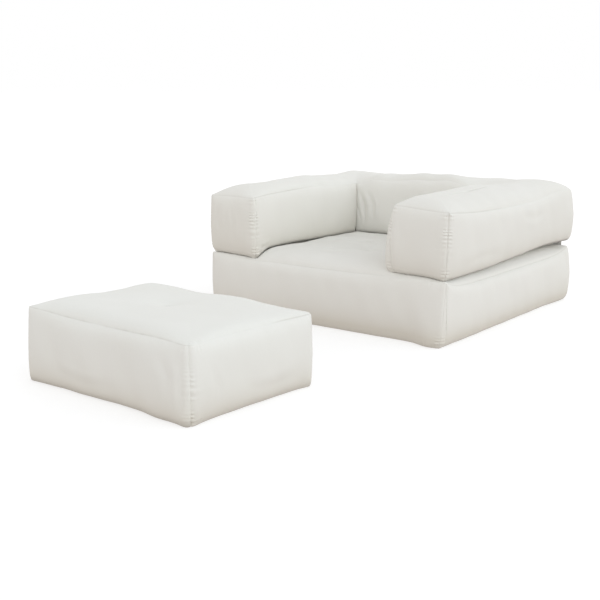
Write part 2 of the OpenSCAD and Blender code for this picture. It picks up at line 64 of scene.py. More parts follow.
# Sizes of the solids, in their own frame
SEAM_GAP = 0.5 * MM
BASE_ROLL = 6 * MM
HALF_W = round(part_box("seat_base_panel")[1][0] + BASE_ROLL + SEAM_GAP, 3)
HALF_D = HALF_W
SEAT_H = 220 * MM
ARM_W = 210 * MM
BACK_D = 340 * MM
WELL_W = HALF_W - ARM_W
WELL_REAR = HALF_D - BACK_D
WELL_MID = (WELL_REAR - HALF_D) / 2
SURROUND_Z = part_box("surround_base_panel")[0][2]
SURROUND_H = 218 * MM
STOOL_HALF_W = 330 * MM
STOOL_HALF_D = 237 * MM
STOOL_H = 216 * MM
STOOL_AHEAD = 819 * MM
STOOL_RIGHT = 57 * MM
STOOL_YAW = math.radians(-3.27)
STOOL_PLACE = (STOOL_RIGHT, -HALF_D - STOOL_AHEAD)
FOLD_Y = 509.7 * MM
FOLD_Z = 242.13 * MM
ZIP_L = 640 * MM
STOOL_ZIP_L = 400 * MM
TAPE_W = 24 * MM
ZIP_MARGIN = 15 * MM
ZIP_BAND = 0.09
ZIP_SINK = 0.3 * MM

# The soft forms: swells, rolls and lifts, and how far each reaches
SIDE_SWELL = 14 * MM
REAR_SWELL = 4 * MM
SEAM_DRAW = 8 * MM
DRAW_REACH = 250 * MM
SWELL_POWER = 2.4
UNDER_ROLL = 7 * MM
INNER_ROLL = 9 * MM
INNER_LIFT = 19 * MM
LIFT_REACH = 34 * MM
ROLL_REACH = 50 * MM
SHOULDER = 6 * MM
SHOULDER_REACH = 13 * MM
PUFF = 4.5 * MM
PUFF_REACH = 30 * MM
TUCK = 8 * MM
TUCK_REACH = 60 * MM
GROOVE = 1.3 * MM
GROOVE_HALF = 2.0 * MM
PUCKER = 2.1 * MM
PUCKER_STEP = 13 * MM
PUCKER_REACH = 8 * MM
WAVE = 1.5 * MM
REAR_CALM = 0.25
RIPPLE_SHARE = 0.06
SEAM_WAVE = 1.2 * MM


def arch(t):
    return 1 - (2 * t - 1) ** 2


def level(t, power):
    return 1 - np.abs(2 * t - 1) ** power


def unit(x):
    return np.clip(x, 0, 1)


def bump(d, reach):
    """A smooth hill of height 1 at d = 0."""
    return np.exp(-(d / reach) ** 2)


def ramp(a, b, x):
    """0 before a, 1 after b and smooth between."""
    t = unit((x - a) / (b - a))
    return t * t * (3 - 2 * t)


def mix(a, b, t):
    return a + (b - a) * t


def swing(along, seed=0.0):
    """An uneven wave along a seam, between about -1 and 1."""
    return 0.6 * np.sin(along * 27 + seed) + 0.4 * np.sin(along * 61 + 2 * seed + 1)


def hills(x, y, table):
    """Low hills and hollows: each has its place and reach in metres and its height in mm."""
    return sum(height * MM * bump(np.hypot(x - hx, y - hy), reach) for hx, hy, reach, height in table)


def rounded(plan, corner, inward, radius):
    """Rounds a corner of the plan. The signs in inward point into the cushion."""
    d = np.clip(radius - (plan - corner) * inward, 0, None)
    keep = d.max(1) / np.maximum(np.hypot(d[:, 0], d[:, 1]), TINY)
    keep = np.where(d.min(1) > 0, keep, 1)
    return plan + inward * d * (1 - keep)[:, None]


def turned(co, centre, turn):
    """Turns points about the vertical and moves them to a centre."""
    c, s = math.cos(turn), math.sin(turn)
    x, y, z = co.T
    return np.stack([centre[0] + x * c - y * s, centre[1] + x * s + y * c, z], 1)


def fold(p, panel, path, depth, width, ridge=0.5):
    """A crease along a path on a panel: run and height there, or x and y on top, all in mm."""
    on, a, b = (p.top, p.x, p.y) if panel == "top" else (p.on(panel), p.t * p.edge_length, p.z)
    best = np.full(len(p.h), FAR)
    share = np.zeros(len(p.h))
    points = np.array(path, float) * MM
    lengths = np.linalg.norm(np.diff(points, axis=0), axis=1)
    before = np.concatenate([[0], np.cumsum(lengths)])
    for i, length in enumerate(lengths):
        along = (points[i + 1] - points[i]) / length
        da, db = a - points[i][0], b - points[i][1]
        s = np.clip(da * along[0] + db * along[1], 0, length)
        away = np.hypot(da - s * along[0], db - s * along[1])
        nearer = away < best
        best = np.where(nearer, away, best)
        share = np.where(nearer, (before[i] + s) / before[-1], share)
    taper = np.sin(np.pi * np.clip(share, 0.03, 0.97))
    hill = ridge * bump(best - 2 * width * MM, width * MM) - bump(best, width * MM)
    return depth * MM * hill * taper * on


@dataclass
class Edge:
    """One side panel of a cushion, from its first corner to its last as its outline runs anticlockwise."""
    name: str
    start: tuple
    end: tuple
    swell: float = SIDE_SWELL
    power: int = 6  # how evenly the swell spreads along the panel
    draw: float = SEAM_DRAW  # how far the top seam is drawn in
    tucked: tuple = (0, 0)  # whether its first and its last post lie in an inner corner
    puff: float = PUFF
    under: float = UNDER_ROLL

    def __post_init__(self):
        self.start, self.end = np.array([self.start, self.end], float)
        self.length = float(np.linalg.norm(self.end - self.start))
        self.along = (self.end - self.start) / self.length
        self.out = np.array([self.along[1], -self.along[0]])


class Pattern:
    """Where each point of a cushion's reference block lies on its panels."""

    def __init__(self, ref, edges, height):
        self.x, self.y, self.h = ref[:, 0], ref[:, 1], ref[:, 2]
        self.z = self.h * height
        plan = ref[:, :2]
        count = len(ref)
        self.rim, self.corner, self.tuck = np.full((3, count), FAR)
        self.t, self.run = np.zeros((2, count))
        self.edge = np.zeros(count, int)
        self.inward = np.zeros((count, 2))
        before = 0.0
        for i, e in enumerate(edges):
            local = plan - e.start
            s = np.clip(local @ e.along, 0, e.length)
            distance = np.linalg.norm(local - s[:, None] * e.along, axis=1)
            self.inward -= e.out * (e.under / UNDER_ROLL * unit(1 - distance / ROLL_REACH))[:, None]
            nearer = distance < self.rim - TINY
            self.rim[nearer] = distance[nearer]
            self.edge[nearer] = i
            self.t[nearer] = s[nearer] / e.length
            self.run[nearer] = before + s[nearer]
            for post, tucked in zip((e.start, e.end), e.tucked):
                away = np.linalg.norm(plan - post, axis=1)
                self.corner = np.minimum(self.corner, away)
                if tucked:
                    self.tuck = np.minimum(self.tuck, away)
            before += e.length
        self.top = self.h > 1 - TOUCH
        self.base = self.h < TOUCH
        self.wall = self.rim < TOUCH
        self.top_seam = np.where(self.top, self.rim, (1 - self.h) * height)
        self.base_seam = np.where(self.base, self.rim, self.z)
        self.edge_seam = np.minimum(self.top_seam, self.base_seam)
        self.post_seam = np.where(self.wall, self.corner, 1.0)
        self.seam = np.minimum(self.edge_seam, self.post_seam)
        self.at_post = self.post_seam < self.edge_seam
        self.out, self.panel, self.edge_length, self.swell, self.power, self.draw, self.puff = (
            np.array([getattr(e, what) for e in edges])[self.edge]
            for what in ("out", "name", "length", "swell", "power", "draw", "puff"))

    def on(self, *panels):
        """1 on these side panels, with their seams, and 0 elsewhere."""
        return np.where(self.wall & np.isin(self.panel, panels), 1.0, 0.0)


def lines(low, high, step, extra=()):
    """Cut lines from low to high about a step apart, with some more at given places."""
    marks = sorted({round(v, 6) for v in (low, high, *extra)})
    cuts = []
    for a, b in zip(marks, marks[1:]):
        n = max(1, round((b - a) / step))
        cuts += [a + (b - a) * i / n for i in range(n)]
    return cuts + [marks[-1]]


def block_mesh(name, xs, ys, hs, hole):
    """The skin of a block cut by lines, less a hole in plan, as a mesh of squares in reference form."""
    def inside(i, j):
        if not (0 <= i < len(xs) - 1 and 0 <= j < len(ys) - 1):
            return False
        x, y = (xs[i] + xs[i + 1]) / 2, (ys[j] + ys[j + 1]) / 2
        return hole is None or not (hole[0] < x < hole[1] and hole[2] < y < hole[3])

    ids = {}
    points, faces = [], []

    def point(i, j, k):
        if (i, j, k) not in ids:
            ids[i, j, k] = len(points)
            points.append((xs[i], ys[j], hs[k]))
        return ids[i, j, k]

    top = len(hs) - 1
    walls = (((1, 0), (1, 0), (1, 1)), ((-1, 0), (0, 1), (0, 0)), ((0, 1), (1, 1), (0, 1)), ((0, -1), (0, 0), (1, 0)))
    for i in range(len(xs) - 1):
        for j in range(len(ys) - 1):
            if not inside(i, j):
                continue
            ring = ((i, j), (i + 1, j), (i + 1, j + 1), (i, j + 1))
            faces.append([point(a, b, top) for a, b in ring])
            faces.append([point(a, b, 0) for a, b in reversed(ring)])
            for (dx, dy), (ax, ay), (bx, by) in walls:
                if not inside(i + dx, j + dy):
                    for k in range(top):
                        a, b = (i + ax, j + ay), (i + bx, j + by)
                        faces.append([point(*a, k), point(*b, k), point(*b, k + 1), point(*a, k + 1)])
    mesh = new_mesh(name, points, faces)
    store(mesh, "reference", np.array(points))
    return mesh


def store(mesh, name, values):
    """Keeps a number or a vector for each point."""
    kind, key = ("FLOAT_VECTOR", "vector") if np.ndim(values) == 2 else ("FLOAT", "value")
    mesh.attributes.new(name, kind, "POINT").data.foreach_set(key, np.asarray(values, np.float32).ravel())


def read(source, key, per=1, kind=np.int32):
    """A number, or per numbers, for each item."""
    out = np.empty(len(source) * per, kind)
    source.foreach_get(key, out)
    return out


def vectors(source, key):
    return read(source, key, 3, np.float32).reshape(-1, 3).astype(float)


def stored(mesh, name):
    return vectors(mesh.attributes[name].data, "vector")


def positions(mesh):
    return vectors(mesh.vertices, "co")


def place(mesh, co):
    mesh.vertices.foreach_set("co", co.astype(np.float32).ravel())
    mesh.update()


def lay_cloth(mesh, u, v):
    """Flat cloth coordinates in metres for each face corner."""
    mesh.uv_layers.new(name="cloth").data.foreach_set("uv", np.stack([u, v], 1).astype(np.float32).ravel())


def add_object(name, data):
    obj = bpy.data.objects.new(name, data)
    scene.collection.objects.link(obj)
    return obj


def new_mesh(name, points, faces):
    mesh = bpy.data.meshes.new(name)
    mesh.from_pydata(points, [], faces)
    return mesh


def smooth_field(mesh, values, held, rounds):
    """Averages a field with its neighbours, and keeps it where held is true."""
    a, b = read(mesh.edges, "vertices", 2).reshape(-1, 2).T
    count = np.bincount(a, minlength=len(values)) + np.bincount(b, minlength=len(values))
    out = values.copy()
    for _ in range(rounds):
        total = np.stack([np.bincount(a, part[b], len(part)) + np.bincount(b, part[a], len(part)) for part in out.T], 1)
        out = np.where(held[:, None], values, 0.5 * out + 0.5 * total / count[:, None])
    return out


def refine(mesh, chosen):
    """Halves the squares whose points are all chosen, in reference form."""
    bm = bmesh.new()
    bm.from_mesh(mesh)
    bm.verts.ensure_lookup_table()
    picked = [e for e in bm.edges if chosen[e.verts[0].index] and chosen[e.verts[1].index]]
    bmesh.ops.subdivide_edges(bm, edges=picked, cuts=1, use_grid_fill=True)
    bm.to_mesh(mesh)
    bm.free()


@dataclass
class Cushion:
    """A cushion: its outline, its cut lines and the functions that give its forms and its look."""
    name: str
    edges: list
    height: float
    top: Callable
    base: Callable
    seams: Callable  # how deep each seam's groove is and how strong the painted shade along its line
    puckers: Callable  # how strong the puckers are, at the corner posts and at the rims
    painted_shadow: Callable  # how much painted contact shadow the cloth gets where it meets what it lies on
    smooth_posts: Callable  # which corner posts have no valley
    low_shade_height: Callable  # the height that the painted shade toward the bottom follows
    corners: list  # place, signs inward and radius
    nudges: list  # x, y, share of the height, reach, and the move in mm
    folds: list  # panel, path, depth, width and, where it isn't 0.5, the ridges beside it
    zip_half: float
    extra: tuple = ((), ())  # cut lines across x and across y besides the even ones
    hole: tuple = None
    centre: tuple = (0, 0)
    turn: float = 0.0
    lower: float = 0.35  # how much of the lowest roll there is away from the corners
    sharp: float = 0.0  # how much of every roll the corners lose
    ceiling: Callable = None

    def __post_init__(self):
        xs, ys = (lines(-half, half, STEP, extra)
                  for half, extra in zip(np.max([e.start for e in self.edges], 0), self.extra))
        self.mesh = block_mesh(self.name, xs, ys, lines(0, 1, 1 / 22), self.hole)

    def pattern(self):
        return Pattern(stored(self.mesh, "reference"), self.edges, self.height)

    def shape(self, p):
        """The smooth form: plan moves, side swell and heights."""
        outward = np.maximum(p.swell - SHOULDER, 0) * level(p.t, p.power) * level(p.h, SWELL_POWER) * p.wall
        fade = unit(1 - p.rim / DRAW_REACH) ** 2
        outward -= p.draw * arch(p.t) * p.h ** 1.5 * fade
        outward += SEAM_WAVE * swing(p.run, 2 * p.h) * fade * unit(p.corner / 0.05)
        co = np.stack([p.x + p.out[:, 0] * outward, p.y + p.out[:, 1] * outward, p.h], 1)
        roll = BASE_ROLL * np.exp(-p.h / 0.05) * mix(self.lower, max(self.lower, 1), bump(p.corner, 0.08))
        roll += UNDER_ROLL * np.exp(-p.h / 0.17)
        roll *= 1 - self.sharp * bump(p.corner, 0.06)
        co[:, :2] += p.inward * roll[:, None]
        co[:, 2] = mix(self.base(p.x, p.y), self.top(p), p.h)
        for x, y, h, reach, move in self.nudges:
            near = bump(np.hypot(p.x - x, p.y - y), reach) * (1 - np.abs(p.h - h))
            co += near[:, None] * np.array(move) * MM
        for corner in self.corners:
            co[:, :2] = rounded(co[:, :2], *corner)
        return co

    def surface(self, p):
        """How far each point moves along its normal: rounded edges, grooves, puckers, waves and folds."""
        height = np.where(p.top, SHOULDER, np.minimum(p.swell, SHOULDER))
        seam = np.where(self.smooth_posts(p), p.edge_seam, p.seam)
        lift = height * (1 - np.exp(-seam / SHOULDER_REACH))
        lift += TUCK * np.exp(-p.tuck / TUCK_REACH) * (1 - np.exp(-p.tuck / TUCK)) * p.wall
        beside = p.top_seam / PUFF_REACH
        lift += p.puff * arch(p.t) * beside * np.exp(1 - beside)
        groove = GROOVE * self.seams(p) * bump(seam, GROOVE_HALF)
        posts, rims = self.puckers(p)
        lift += PUCKER * posts * self.gathers(p.post_seam, p.z)
        lift += PUCKER * rims * self.gathers(p.edge_seam, p.run) * (1 - bump(p.post_seam, PUCKER_REACH))
        x, y, z = p.x, p.y, p.z
        broad = np.sin(19 * x + 14 * z + 1) * np.sin(23 * y - 9 * z + 2)
        narrow = np.sin(43 * x - 17 * y + 31 * z) * np.sin(37 * y + 21 * x + 12 * z + 1)
        calm = 1 - (1 - REAR_CALM) * p.on("rear")
        lift += WAVE * calm * (broad + 0.5 * narrow) * (1 - np.exp(-p.seam / SHOULDER_REACH))
        for crease in self.folds:
            lift += fold(p, *crease)
        return np.where(p.base, 0, lift - groove)

    @staticmethod
    def gathers(seam, along):
        """Small folds that run out of a seam and die away."""
        beside = seam / PUCKER_REACH
        phase = along * 2 * math.pi / PUCKER_STEP + 3.2 * swing(along, 1) + 2.0 * swing(along * 2.3, 4)
        return np.sin(phase) * (0.5 + 0.5 * swing(along * 1.7, 2)) * beside * np.exp(1 - beside)

    def finish(self, material, body, nodes):
        """Shapes the mesh for good and makes it the object that stands for its nodes."""
        mesh = self.mesh
        p = self.pattern()
        co = self.shape(p) + smooth_field(mesh, stored(mesh, "ripple"), p.seam < TOUCH, 6)
        place(mesh, co)
        co += vectors(mesh.vertex_normals, "vector") * self.surface(p)[:, None]
        co[:, 2] = np.maximum(co[:, 2], self.base(co[:, 0], co[:, 1]))
        if self.ceiling:
            co[:, 2] = np.minimum(co[:, 2], self.ceiling(p, co))
        behind = (p.on("rear") > 0) & (np.abs(p.x) < self.zip_half + ZIP_MARGIN) & (np.abs(p.h - 0.5) < ZIP_BAND)
        co[:, 1] = np.where(behind, np.minimum(co[:, 1], p.y + REAR_SWELL - ZIP_SINK), co[:, 1])
        place(mesh, turned(co, self.centre, self.turn))
        for name, values in (("seam", p.seam), ("show", self.seams(p)), ("height", self.low_shade_height(p)),
                             ("painted_shadow", self.painted_shadow(p))):
            store(mesh, name, values)
        self.lay_pattern(p)
        mesh.polygons.foreach_set("use_smooth", [True] * len(mesh.polygons))
        mesh.materials.append(material)
        obj = add_object(self.name, mesh)
        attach(obj, body)
        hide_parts(*nodes)
        return obj

    def lay_pattern(self, p):
        """Lays each panel's face corners flat: x and y on the top and the base, and run and height on a wall."""
        mesh = self.mesh
        corner = read(mesh.loops, "vertex_index")
        starts = read(mesh.polygons, "loop_start")
        face = np.repeat(np.arange(len(starts)), read(mesh.polygons, "loop_total"))
        x, y, z = np.stack([p.x, p.y, p.z])[:, corner]
        flat, along_y = ((np.maximum.reduceat(v, starts) - np.minimum.reduceat(v, starts) < TOUCH)[face]
                         for v in (p.h[corner], x))
        lay_cloth(mesh, np.where(flat | ~along_y, x, y), np.where(flat, y, z))


CLOTH = {"quality": 5, "mass": 0.3, "tension_stiffness": 15, "compression_stiffness": 15, "shear_stiffness": 8,
         "bending_stiffness": 1.5, "use_pressure": True, "uniform_pressure_force": 4, "shrink_min": -0.02,
         "vertex_group_mass": "pins"}
FRAMES = 20
RIPPLE_CAP = 6 * MM
RIPPLE_ROUNDS = 60


def simulate(cushion):
    """Swells the coarse cushion as cloth, and keeps the folds that this makes as its ripple."""
    mesh = cushion.mesh
    p = cushion.pattern()
    rest = cushion.shape(p)
    place(mesh, rest)
    ripple = np.zeros_like(rest)
    copy = mesh.copy()
    obj = add_object("swell", copy)
    held = (p.seam < TOUCH) | p.base
    obj.vertex_groups.new(name="pins").add([int(i) for i in np.nonzero(held)[0]], 1.0, "REPLACE")
    cloth = obj.modifiers.new("cloth", "CLOTH")
    for key, value in CLOTH.items():
        setattr(cloth.settings, key, value)
    cloth.settings.effector_weights.gravity = 0
    cloth.point_cache.frame_start = 1
    cloth.point_cache.frame_end = FRAMES
    for f in range(1, FRAMES + 1):
        scene.frame_set(f)
    swollen = obj.evaluated_get(bpy.context.evaluated_depsgraph_get()).to_mesh()
    moved = positions(swollen) - rest
    bpy.data.objects.remove(obj)
    bpy.data.meshes.remove(copy)
    scene.frame_set(1)
    ripple = moved - smooth_field(mesh, moved, held, RIPPLE_ROUNDS)
    length = np.linalg.norm(ripple, axis=1)
    ripple *= (RIPPLE_SHARE * RIPPLE_CAP * np.tanh(length / RIPPLE_CAP) / np.maximum(length, TINY))[:, None]
    store(mesh, "ripple", ripple)
    place(mesh, stored(mesh, "reference"))


# Materials
class Shade:
    """A value in a material's nodes. Python's operators on it add Math nodes."""

    def __init__(self, tree, socket):
        self.tree = tree
        self.socket = socket

    def math(self, operation, *values):
        return add_node(self.tree, "ShaderNodeMath", {"operation": operation}, dict(enumerate(values)))

    def __add__(self, other):
        return self.math("ADD", self, other)

    def __sub__(self, other):
        return self.math("SUBTRACT", self, other)

    def __rsub__(self, other):
        return self.math("SUBTRACT", other, self)

    def __mul__(self, other):
        return self.math("MULTIPLY", self, other)

    def __truediv__(self, other):
        return self.math("DIVIDE", self, other)

    def sin(self):
        return self.math("SINE", self)

    def exp(self):
        return self.math("EXPONENT", self)

    def clamp(self):
        return add_node(self.tree, "ShaderNodeClamp", {}, {0: self})


def add_node(tree, kind, settings, inputs, output=0):
    """Adds a node, sets it up, feeds its sockets and gives one output."""
    node = tree.nodes.new(kind)
    for key, value in settings.items():
        setattr(node, key, value)
    for key, value in inputs.items():
        if isinstance(value, Shade):
            tree.links.new(value.socket, node.inputs[key])
        else:
            node.inputs[key].default_value = value
    return Shade(tree, node.outputs[output])


def parts_of(vector):
    """The three numbers of a vector."""
    split = vector.tree.nodes.new("ShaderNodeSeparateXYZ")
    vector.tree.links.new(vector.socket, split.inputs[0])
    return [Shade(vector.tree, out) for out in split.outputs]


def noise(tree, at, scale, detail):
    return add_node(tree, "ShaderNodeTexNoise", {}, {"Vector": at, "Scale": scale, "Detail": detail})


def colour(rgb):
    return (*rgb, 1.0)


def new_material(name, roughness, **values):
    material = bpy.data.materials.new(name)
    material.use_nodes = True
    tree = material.node_tree
    tree.nodes.clear()
    shader = tree.nodes.new("ShaderNodeBsdfPrincipled")
    out = tree.nodes.new("ShaderNodeOutputMaterial")
    tree.links.new(shader.outputs[0], out.inputs[0])
    for key, value in {"Roughness": roughness, **values}.items():
        shader.inputs[key.replace("_", " ")].default_value = value
    return material, tree, shader


def finish_shader(tree, shader, base, relief, strength, depth):
    """Gives the shader its colour and the fine relief of its surface."""
    raised = add_node(tree, "ShaderNodeBump", {}, {"Height": relief, "Strength": strength, "Distance": depth})
    tree.links.new(base.socket, shader.inputs["Base Color"])
    tree.links.new(raised.socket, shader.inputs["Normal"])


def blend_colour(tree, a, b, factor):
    values = {0: factor, 6: a if isinstance(a, Shade) else colour(a), 7: b if isinstance(b, Shade) else colour(b)}
    return add_node(tree, "ShaderNodeMix", {"data_type": "RGBA"}, values, output=2)


COTTON = (0.805, 0.795, 0.765)
COTTON_DEEP = (0.755, 0.745, 0.70)
# Painted shade, darker and warmer toward the bottom of each cushion
COTTON_LOW_SHADE = (0.67, 0.64, 0.57)
# Painted shade for the seam lines, where the grooves fall in shade
SEAM_SHADE = (0.50, 0.47, 0.42)
# Painted contact shadow, where the cloth meets what it lies on
CONTACT_SHADE = (0.15, 0.135, 0.115)
# A lighter, cooler tint for the footstool's copy of the cotton: painted light
STOOL_PAINTED_LIGHT = (1.015, 1.028, 1.035)
TWILL_STEP = 1.6 * MM
SEAM_LINE = 1.6 * MM
SEAM_SIDE = 14 * MM
LOW_SHADE_REACH = 0.3


def cotton(name, tone=(1, 1, 1)):
    """Natural cotton twill: a fine weave, slubs and faint blotches, with painted shade toward the bottom, painted shade
    along and beside the seams, and a painted contact shadow where the cloth meets what it lies on.
    """
    material, tree, shader = new_material(name, 0.95, Sheen_Weight=0.15, Sheen_Roughness=0.6, Specular_IOR_Level=0.2)
    u, v, _ = parts_of(add_node(tree, "ShaderNodeUVMap", {"uv_map": "cloth"}, {}))
    place_in = add_node(tree, "ShaderNodeTexCoord", {}, {}, output=3)
    seam, show, height, painted_shadow = (add_node(tree, "ShaderNodeAttribute", {"attribute_name": what}, {}, output=2)
                                   for what in ("seam", "show", "height", "painted_shadow"))
    blotch = noise(tree, place_in, 5.0, 4.0)
    slub = noise(tree, place_in, 160.0, 2.0)
    thread = 2 * math.pi / TWILL_STEP
    twill = ((u + v) * thread).sin() * 0.5 + ((u - v * 0.6) * thread * 1.7).sin() * 0.3
    line = (0 - seam * seam / SEAM_LINE ** 2).exp()
    near = (0 - seam / SEAM_SIDE).exp()
    tint = (blotch * 0.7 + slub * 0.35 + twill * 0.04 - 0.2).clamp()
    # The footstool's copy takes its lighter, cooler tint here: painted light
    light, deep = [tuple(np.array(c) * tone) for c in (COTTON, COTTON_DEEP)]
    base = blend_colour(tree, deep, light, tint)
    # Painted shade, darker and warmer toward the bottom of each cushion
    base = blend_colour(tree, base, COTTON_LOW_SHADE, (0 - height / LOW_SHADE_REACH).exp() * 0.75)
    # Painted shade beside the seams and a painted dark line along them, where their grooves fall in shade
    base = blend_colour(tree, base, deep, near * show * 0.5)
    base = blend_colour(tree, base, SEAM_SHADE, line * show * 0.6)
    # Painted contact shadow where the cloth meets what it lies on
    base = blend_colour(tree, base, CONTACT_SHADE, painted_shadow)
    finish_shader(tree, shader, base, twill * 0.12 + slub * 0.5, 0.25, 0.4 * MM)
    return material


cotton_cover = cotton("natural_cotton")
# The footstool's cotton: the same cloth, tinted lighter and cooler as painted light
stool_cotton = cotton("footstool_cotton", STOOL_PAINTED_LIGHT)


# The seat mattress
def square_outline(a, b, puff):
    """A rectangular cushion's four side panels. The front one is the fullest, and the rear one is flat, for its zip."""
    return [Edge("front", (-a, -b), (a, -b), puff=puff), Edge("right", (a, -b), (a, b), puff=(puff + PUFF) / 2),
            Edge("rear", (a, b), (-a, b), REAR_SWELL, 12, 0, puff=0), Edge("left", (-a, b), (-a, -b))]


def corner_list(a, b, front, rear):
    """The four corners of a rectangle, with the radius of the front ones and of the rear ones."""
    return [((sx * a, sy * b), (-sx, -sy), front if sy < 0 else rear) for sx in (-1, 1) for sy in (-1, 1)]


SEAT_PUFF = 7 * MM
SEAT_CROWN = 22 * MM
SEAT_SIDE_DROP = 34 * MM
SEAT_FRONT_DROP = 11 * MM
SEAT_REAR_DROP = 14 * MM
SEAT_HILLS = [(-0.22, 0.05, 0.06, 5), (-0.05, 0.06, 0.07, 4), (-0.14, -0.12, 0.06, -4), (-0.05, -0.3, 0.08, -3),
              (0.14, 0.0, 0.06, 4), (-0.21, -0.33, 0.06, 3)]
UNDER_GAP = 0.8 * MM


def floor_level(x, y):
    return np.zeros_like(x)


# Where the arms' lower front edges bend, with the seat below them
FRONT_LIFTS = ((-HALF_W, -HALF_D, 0.09, 4), (-WELL_W, -HALF_D, 0.06, -6), (WELL_W, -HALF_D, 0.07, 5),
               (WELL_W + ARM_W / 2, -HALF_D, 0.07, 4))


def inner_lift(x, y):
    """How far the seat's crown pushes up the surround's inner lower edges."""
    away = np.hypot(np.clip(np.abs(x) - WELL_W, 0, None), np.clip(y - WELL_REAR, 0, None))
    fade = ramp(-HALF_D, -HALF_D + 90 * MM, y) * (1 + 0.25 * bump(y + 0.27, 0.12))
    return INNER_LIFT * bump(away, LIFT_REACH) * fade


def surround_base(x, y):
    """The surround's soft underside: it lifts at its inner edges and, to the rear, at its outer ones."""
    outer = unit((np.abs(x) - 0.38) / 0.12) ** 2
    right = outer * (x > 0) * (-5 * MM + 25 * MM * ramp(-0.35, 0.42, y))
    left = outer * (x < 0) * 18 * MM * ramp(-0.2, 0.42, y)
    return SURROUND_Z + right + left + inner_lift(x, y) + hills(x, y, FRONT_LIFTS)


def dimple(x, y, depth, reach):
    return depth * np.exp(-(np.hypot(x, y) / reach) ** 1.5)


def seat_top(p):
    ax, u, v = np.abs(p.x), p.x / HALF_W, p.y / HALF_D
    side_edge = 1 - ramp(WELL_W - 20 * MM, WELL_W + 45 * MM, ax)
    rear_edge = 1 - ramp(WELL_REAR - 20 * MM, WELL_REAR + 45 * MM, p.y)
    front_edge = 1 - unit((-p.y - HALF_D + 110 * MM) / (110 * MM)) ** 2.2
    crown = SEAT_CROWN * side_edge * rear_edge * front_edge
    side = SEAT_SIDE_DROP * level((v + 1) / 2, 6) * (unit(ax - WELL_W) / ARM_W) ** 7
    front = SEAT_FRONT_DROP * (1 - u * u) * unit((-v - 0.75) / 0.25) ** 2
    rear = SEAT_REAR_DROP * (1 - u * u) * (unit(p.y - WELL_REAR) / BACK_D) ** 2
    lifts = 0.9 * hills(p.x, p.y, FRONT_LIFTS) * np.clip(p.rim / 0.02, 0.85, 1) + hills(p.x, p.y, SEAT_HILLS)
    return SEAT_H + crown - side - front - rear + lifts - dimple(p.x, p.y - WELL_MID, 20 * MM, 60 * MM) * side_edge


def seat_ceiling(p, co):
    """The surround's underside, over the part of the seat that lies below it."""
    under = (np.abs(p.x) > WELL_W - 1 * MM) | (p.y > WELL_REAR - 1 * MM)
    return np.where(under, surround_base(co[:, 0], co[:, 1]) - UNDER_GAP, 1.0)


def seat_painted_shadow(p):
    """Painted shadow on the seat: a thin band at the well's edge where the surround lies on it, a band under the right
    arm's outer edge, and a band along the foot of the walls.
    """
    outside = np.maximum(np.abs(p.x) - WELL_W, p.y - WELL_REAR)
    inner = 0.2 * ramp(-3 * MM, 3 * MM, outside) * (1 - ramp(6 * MM, 16 * MM, outside)) * ramp(-0.48, -0.43, p.y)
    side = HALF_W - p.x
    outer = 0.14 * ramp(1 * MM, 14 * MM, side) * (1 - ramp(30 * MM, 80 * MM, side)) * ramp(-0.45, -0.2, p.y)
    return np.where(p.top, np.maximum(inner, outer), p.wall * 0.12 * bump(p.base_seam, 12 * MM))


# How deep each seam's groove is and how strong the painted shade along its line
def seat_seams(p):
    front = 0.06 + 0.22 * bump(p.x + 0.02, 0.2)
    show = np.where((p.top_seam < 0.03) & (p.y < -HALF_D + 0.03), front, 0.4)
    show = np.where(p.at_post, 0.35 + 0.2 * swing(p.h * 0.6), show)
    return np.where(p.base_seam < 0.02, 0.6, show)


def seat_puckers(p):
    posts = 0.15 + 1.1 * unit(1 - p.h / 0.35) * (p.y < 0)
    return posts, 0.06 + 0.5 * bump(p.corner, 0.1)


FLANK = (-5 * MM, 0, 5 * MM, 10 * MM, 16 * MM, 23 * MM, 31 * MM)
seat = Cushion(
    "seat_cushion", square_outline(HALF_W, HALF_D, SEAT_PUFF), SEAT_H,
    extra=([s * (WELL_W + d) for s in (-1, 1) for d in FLANK], [WELL_REAR + d for d in FLANK]),
    top=seat_top, base=floor_level, seams=seat_seams, puckers=seat_puckers, painted_shadow=seat_painted_shadow,
    smooth_posts=lambda p: p.y > 0, low_shade_height=lambda p: p.h * 1.5 - 0.3, ceiling=seat_ceiling,
    zip_half=ZIP_L / 2, corners=corner_list(HALF_W, HALF_D, 9 * MM, 14 * MM),
    nudges=[
        (-HALF_W, -HALF_D, 0.5, 0.1, (-7, 0, 0)), (HALF_W, HALF_D, 0.5, 0.14, (11, 2, 0)),
        (-HALF_W, HALF_D, 0.5, 0.14, (-11, 2, 0)), (HALF_W, -HALF_D, 0, 0.1, (0, -26, 0)),
        (HALF_W, -HALF_D, 1, 0.1, (1, 0, -5)), (HALF_W, HALF_D, 0, 0.12, (7, 0, 0)),
        (HALF_W, HALF_D, 1, 0.1, (-2, 0, -4)), (0.44, -HALF_D, 0, 0.05, (0, -13, 0)),
        (0, -HALF_D, 0, 0.1, (0, 6, 0)), (-0.25, -HALF_D, 0, 0.1, (0, -5, 0))],
    folds=[
        ("top", [(-200, -370), (-110, -330), (-10, -280), (110, -260)], 5, 16),
        ("top", [(-235, -150), (-205, -60), (-110, -40), (10, -100)], 6, 15),
        ("top", [(-230, 30), (-150, 90), (-60, 60)], 5, 14)])


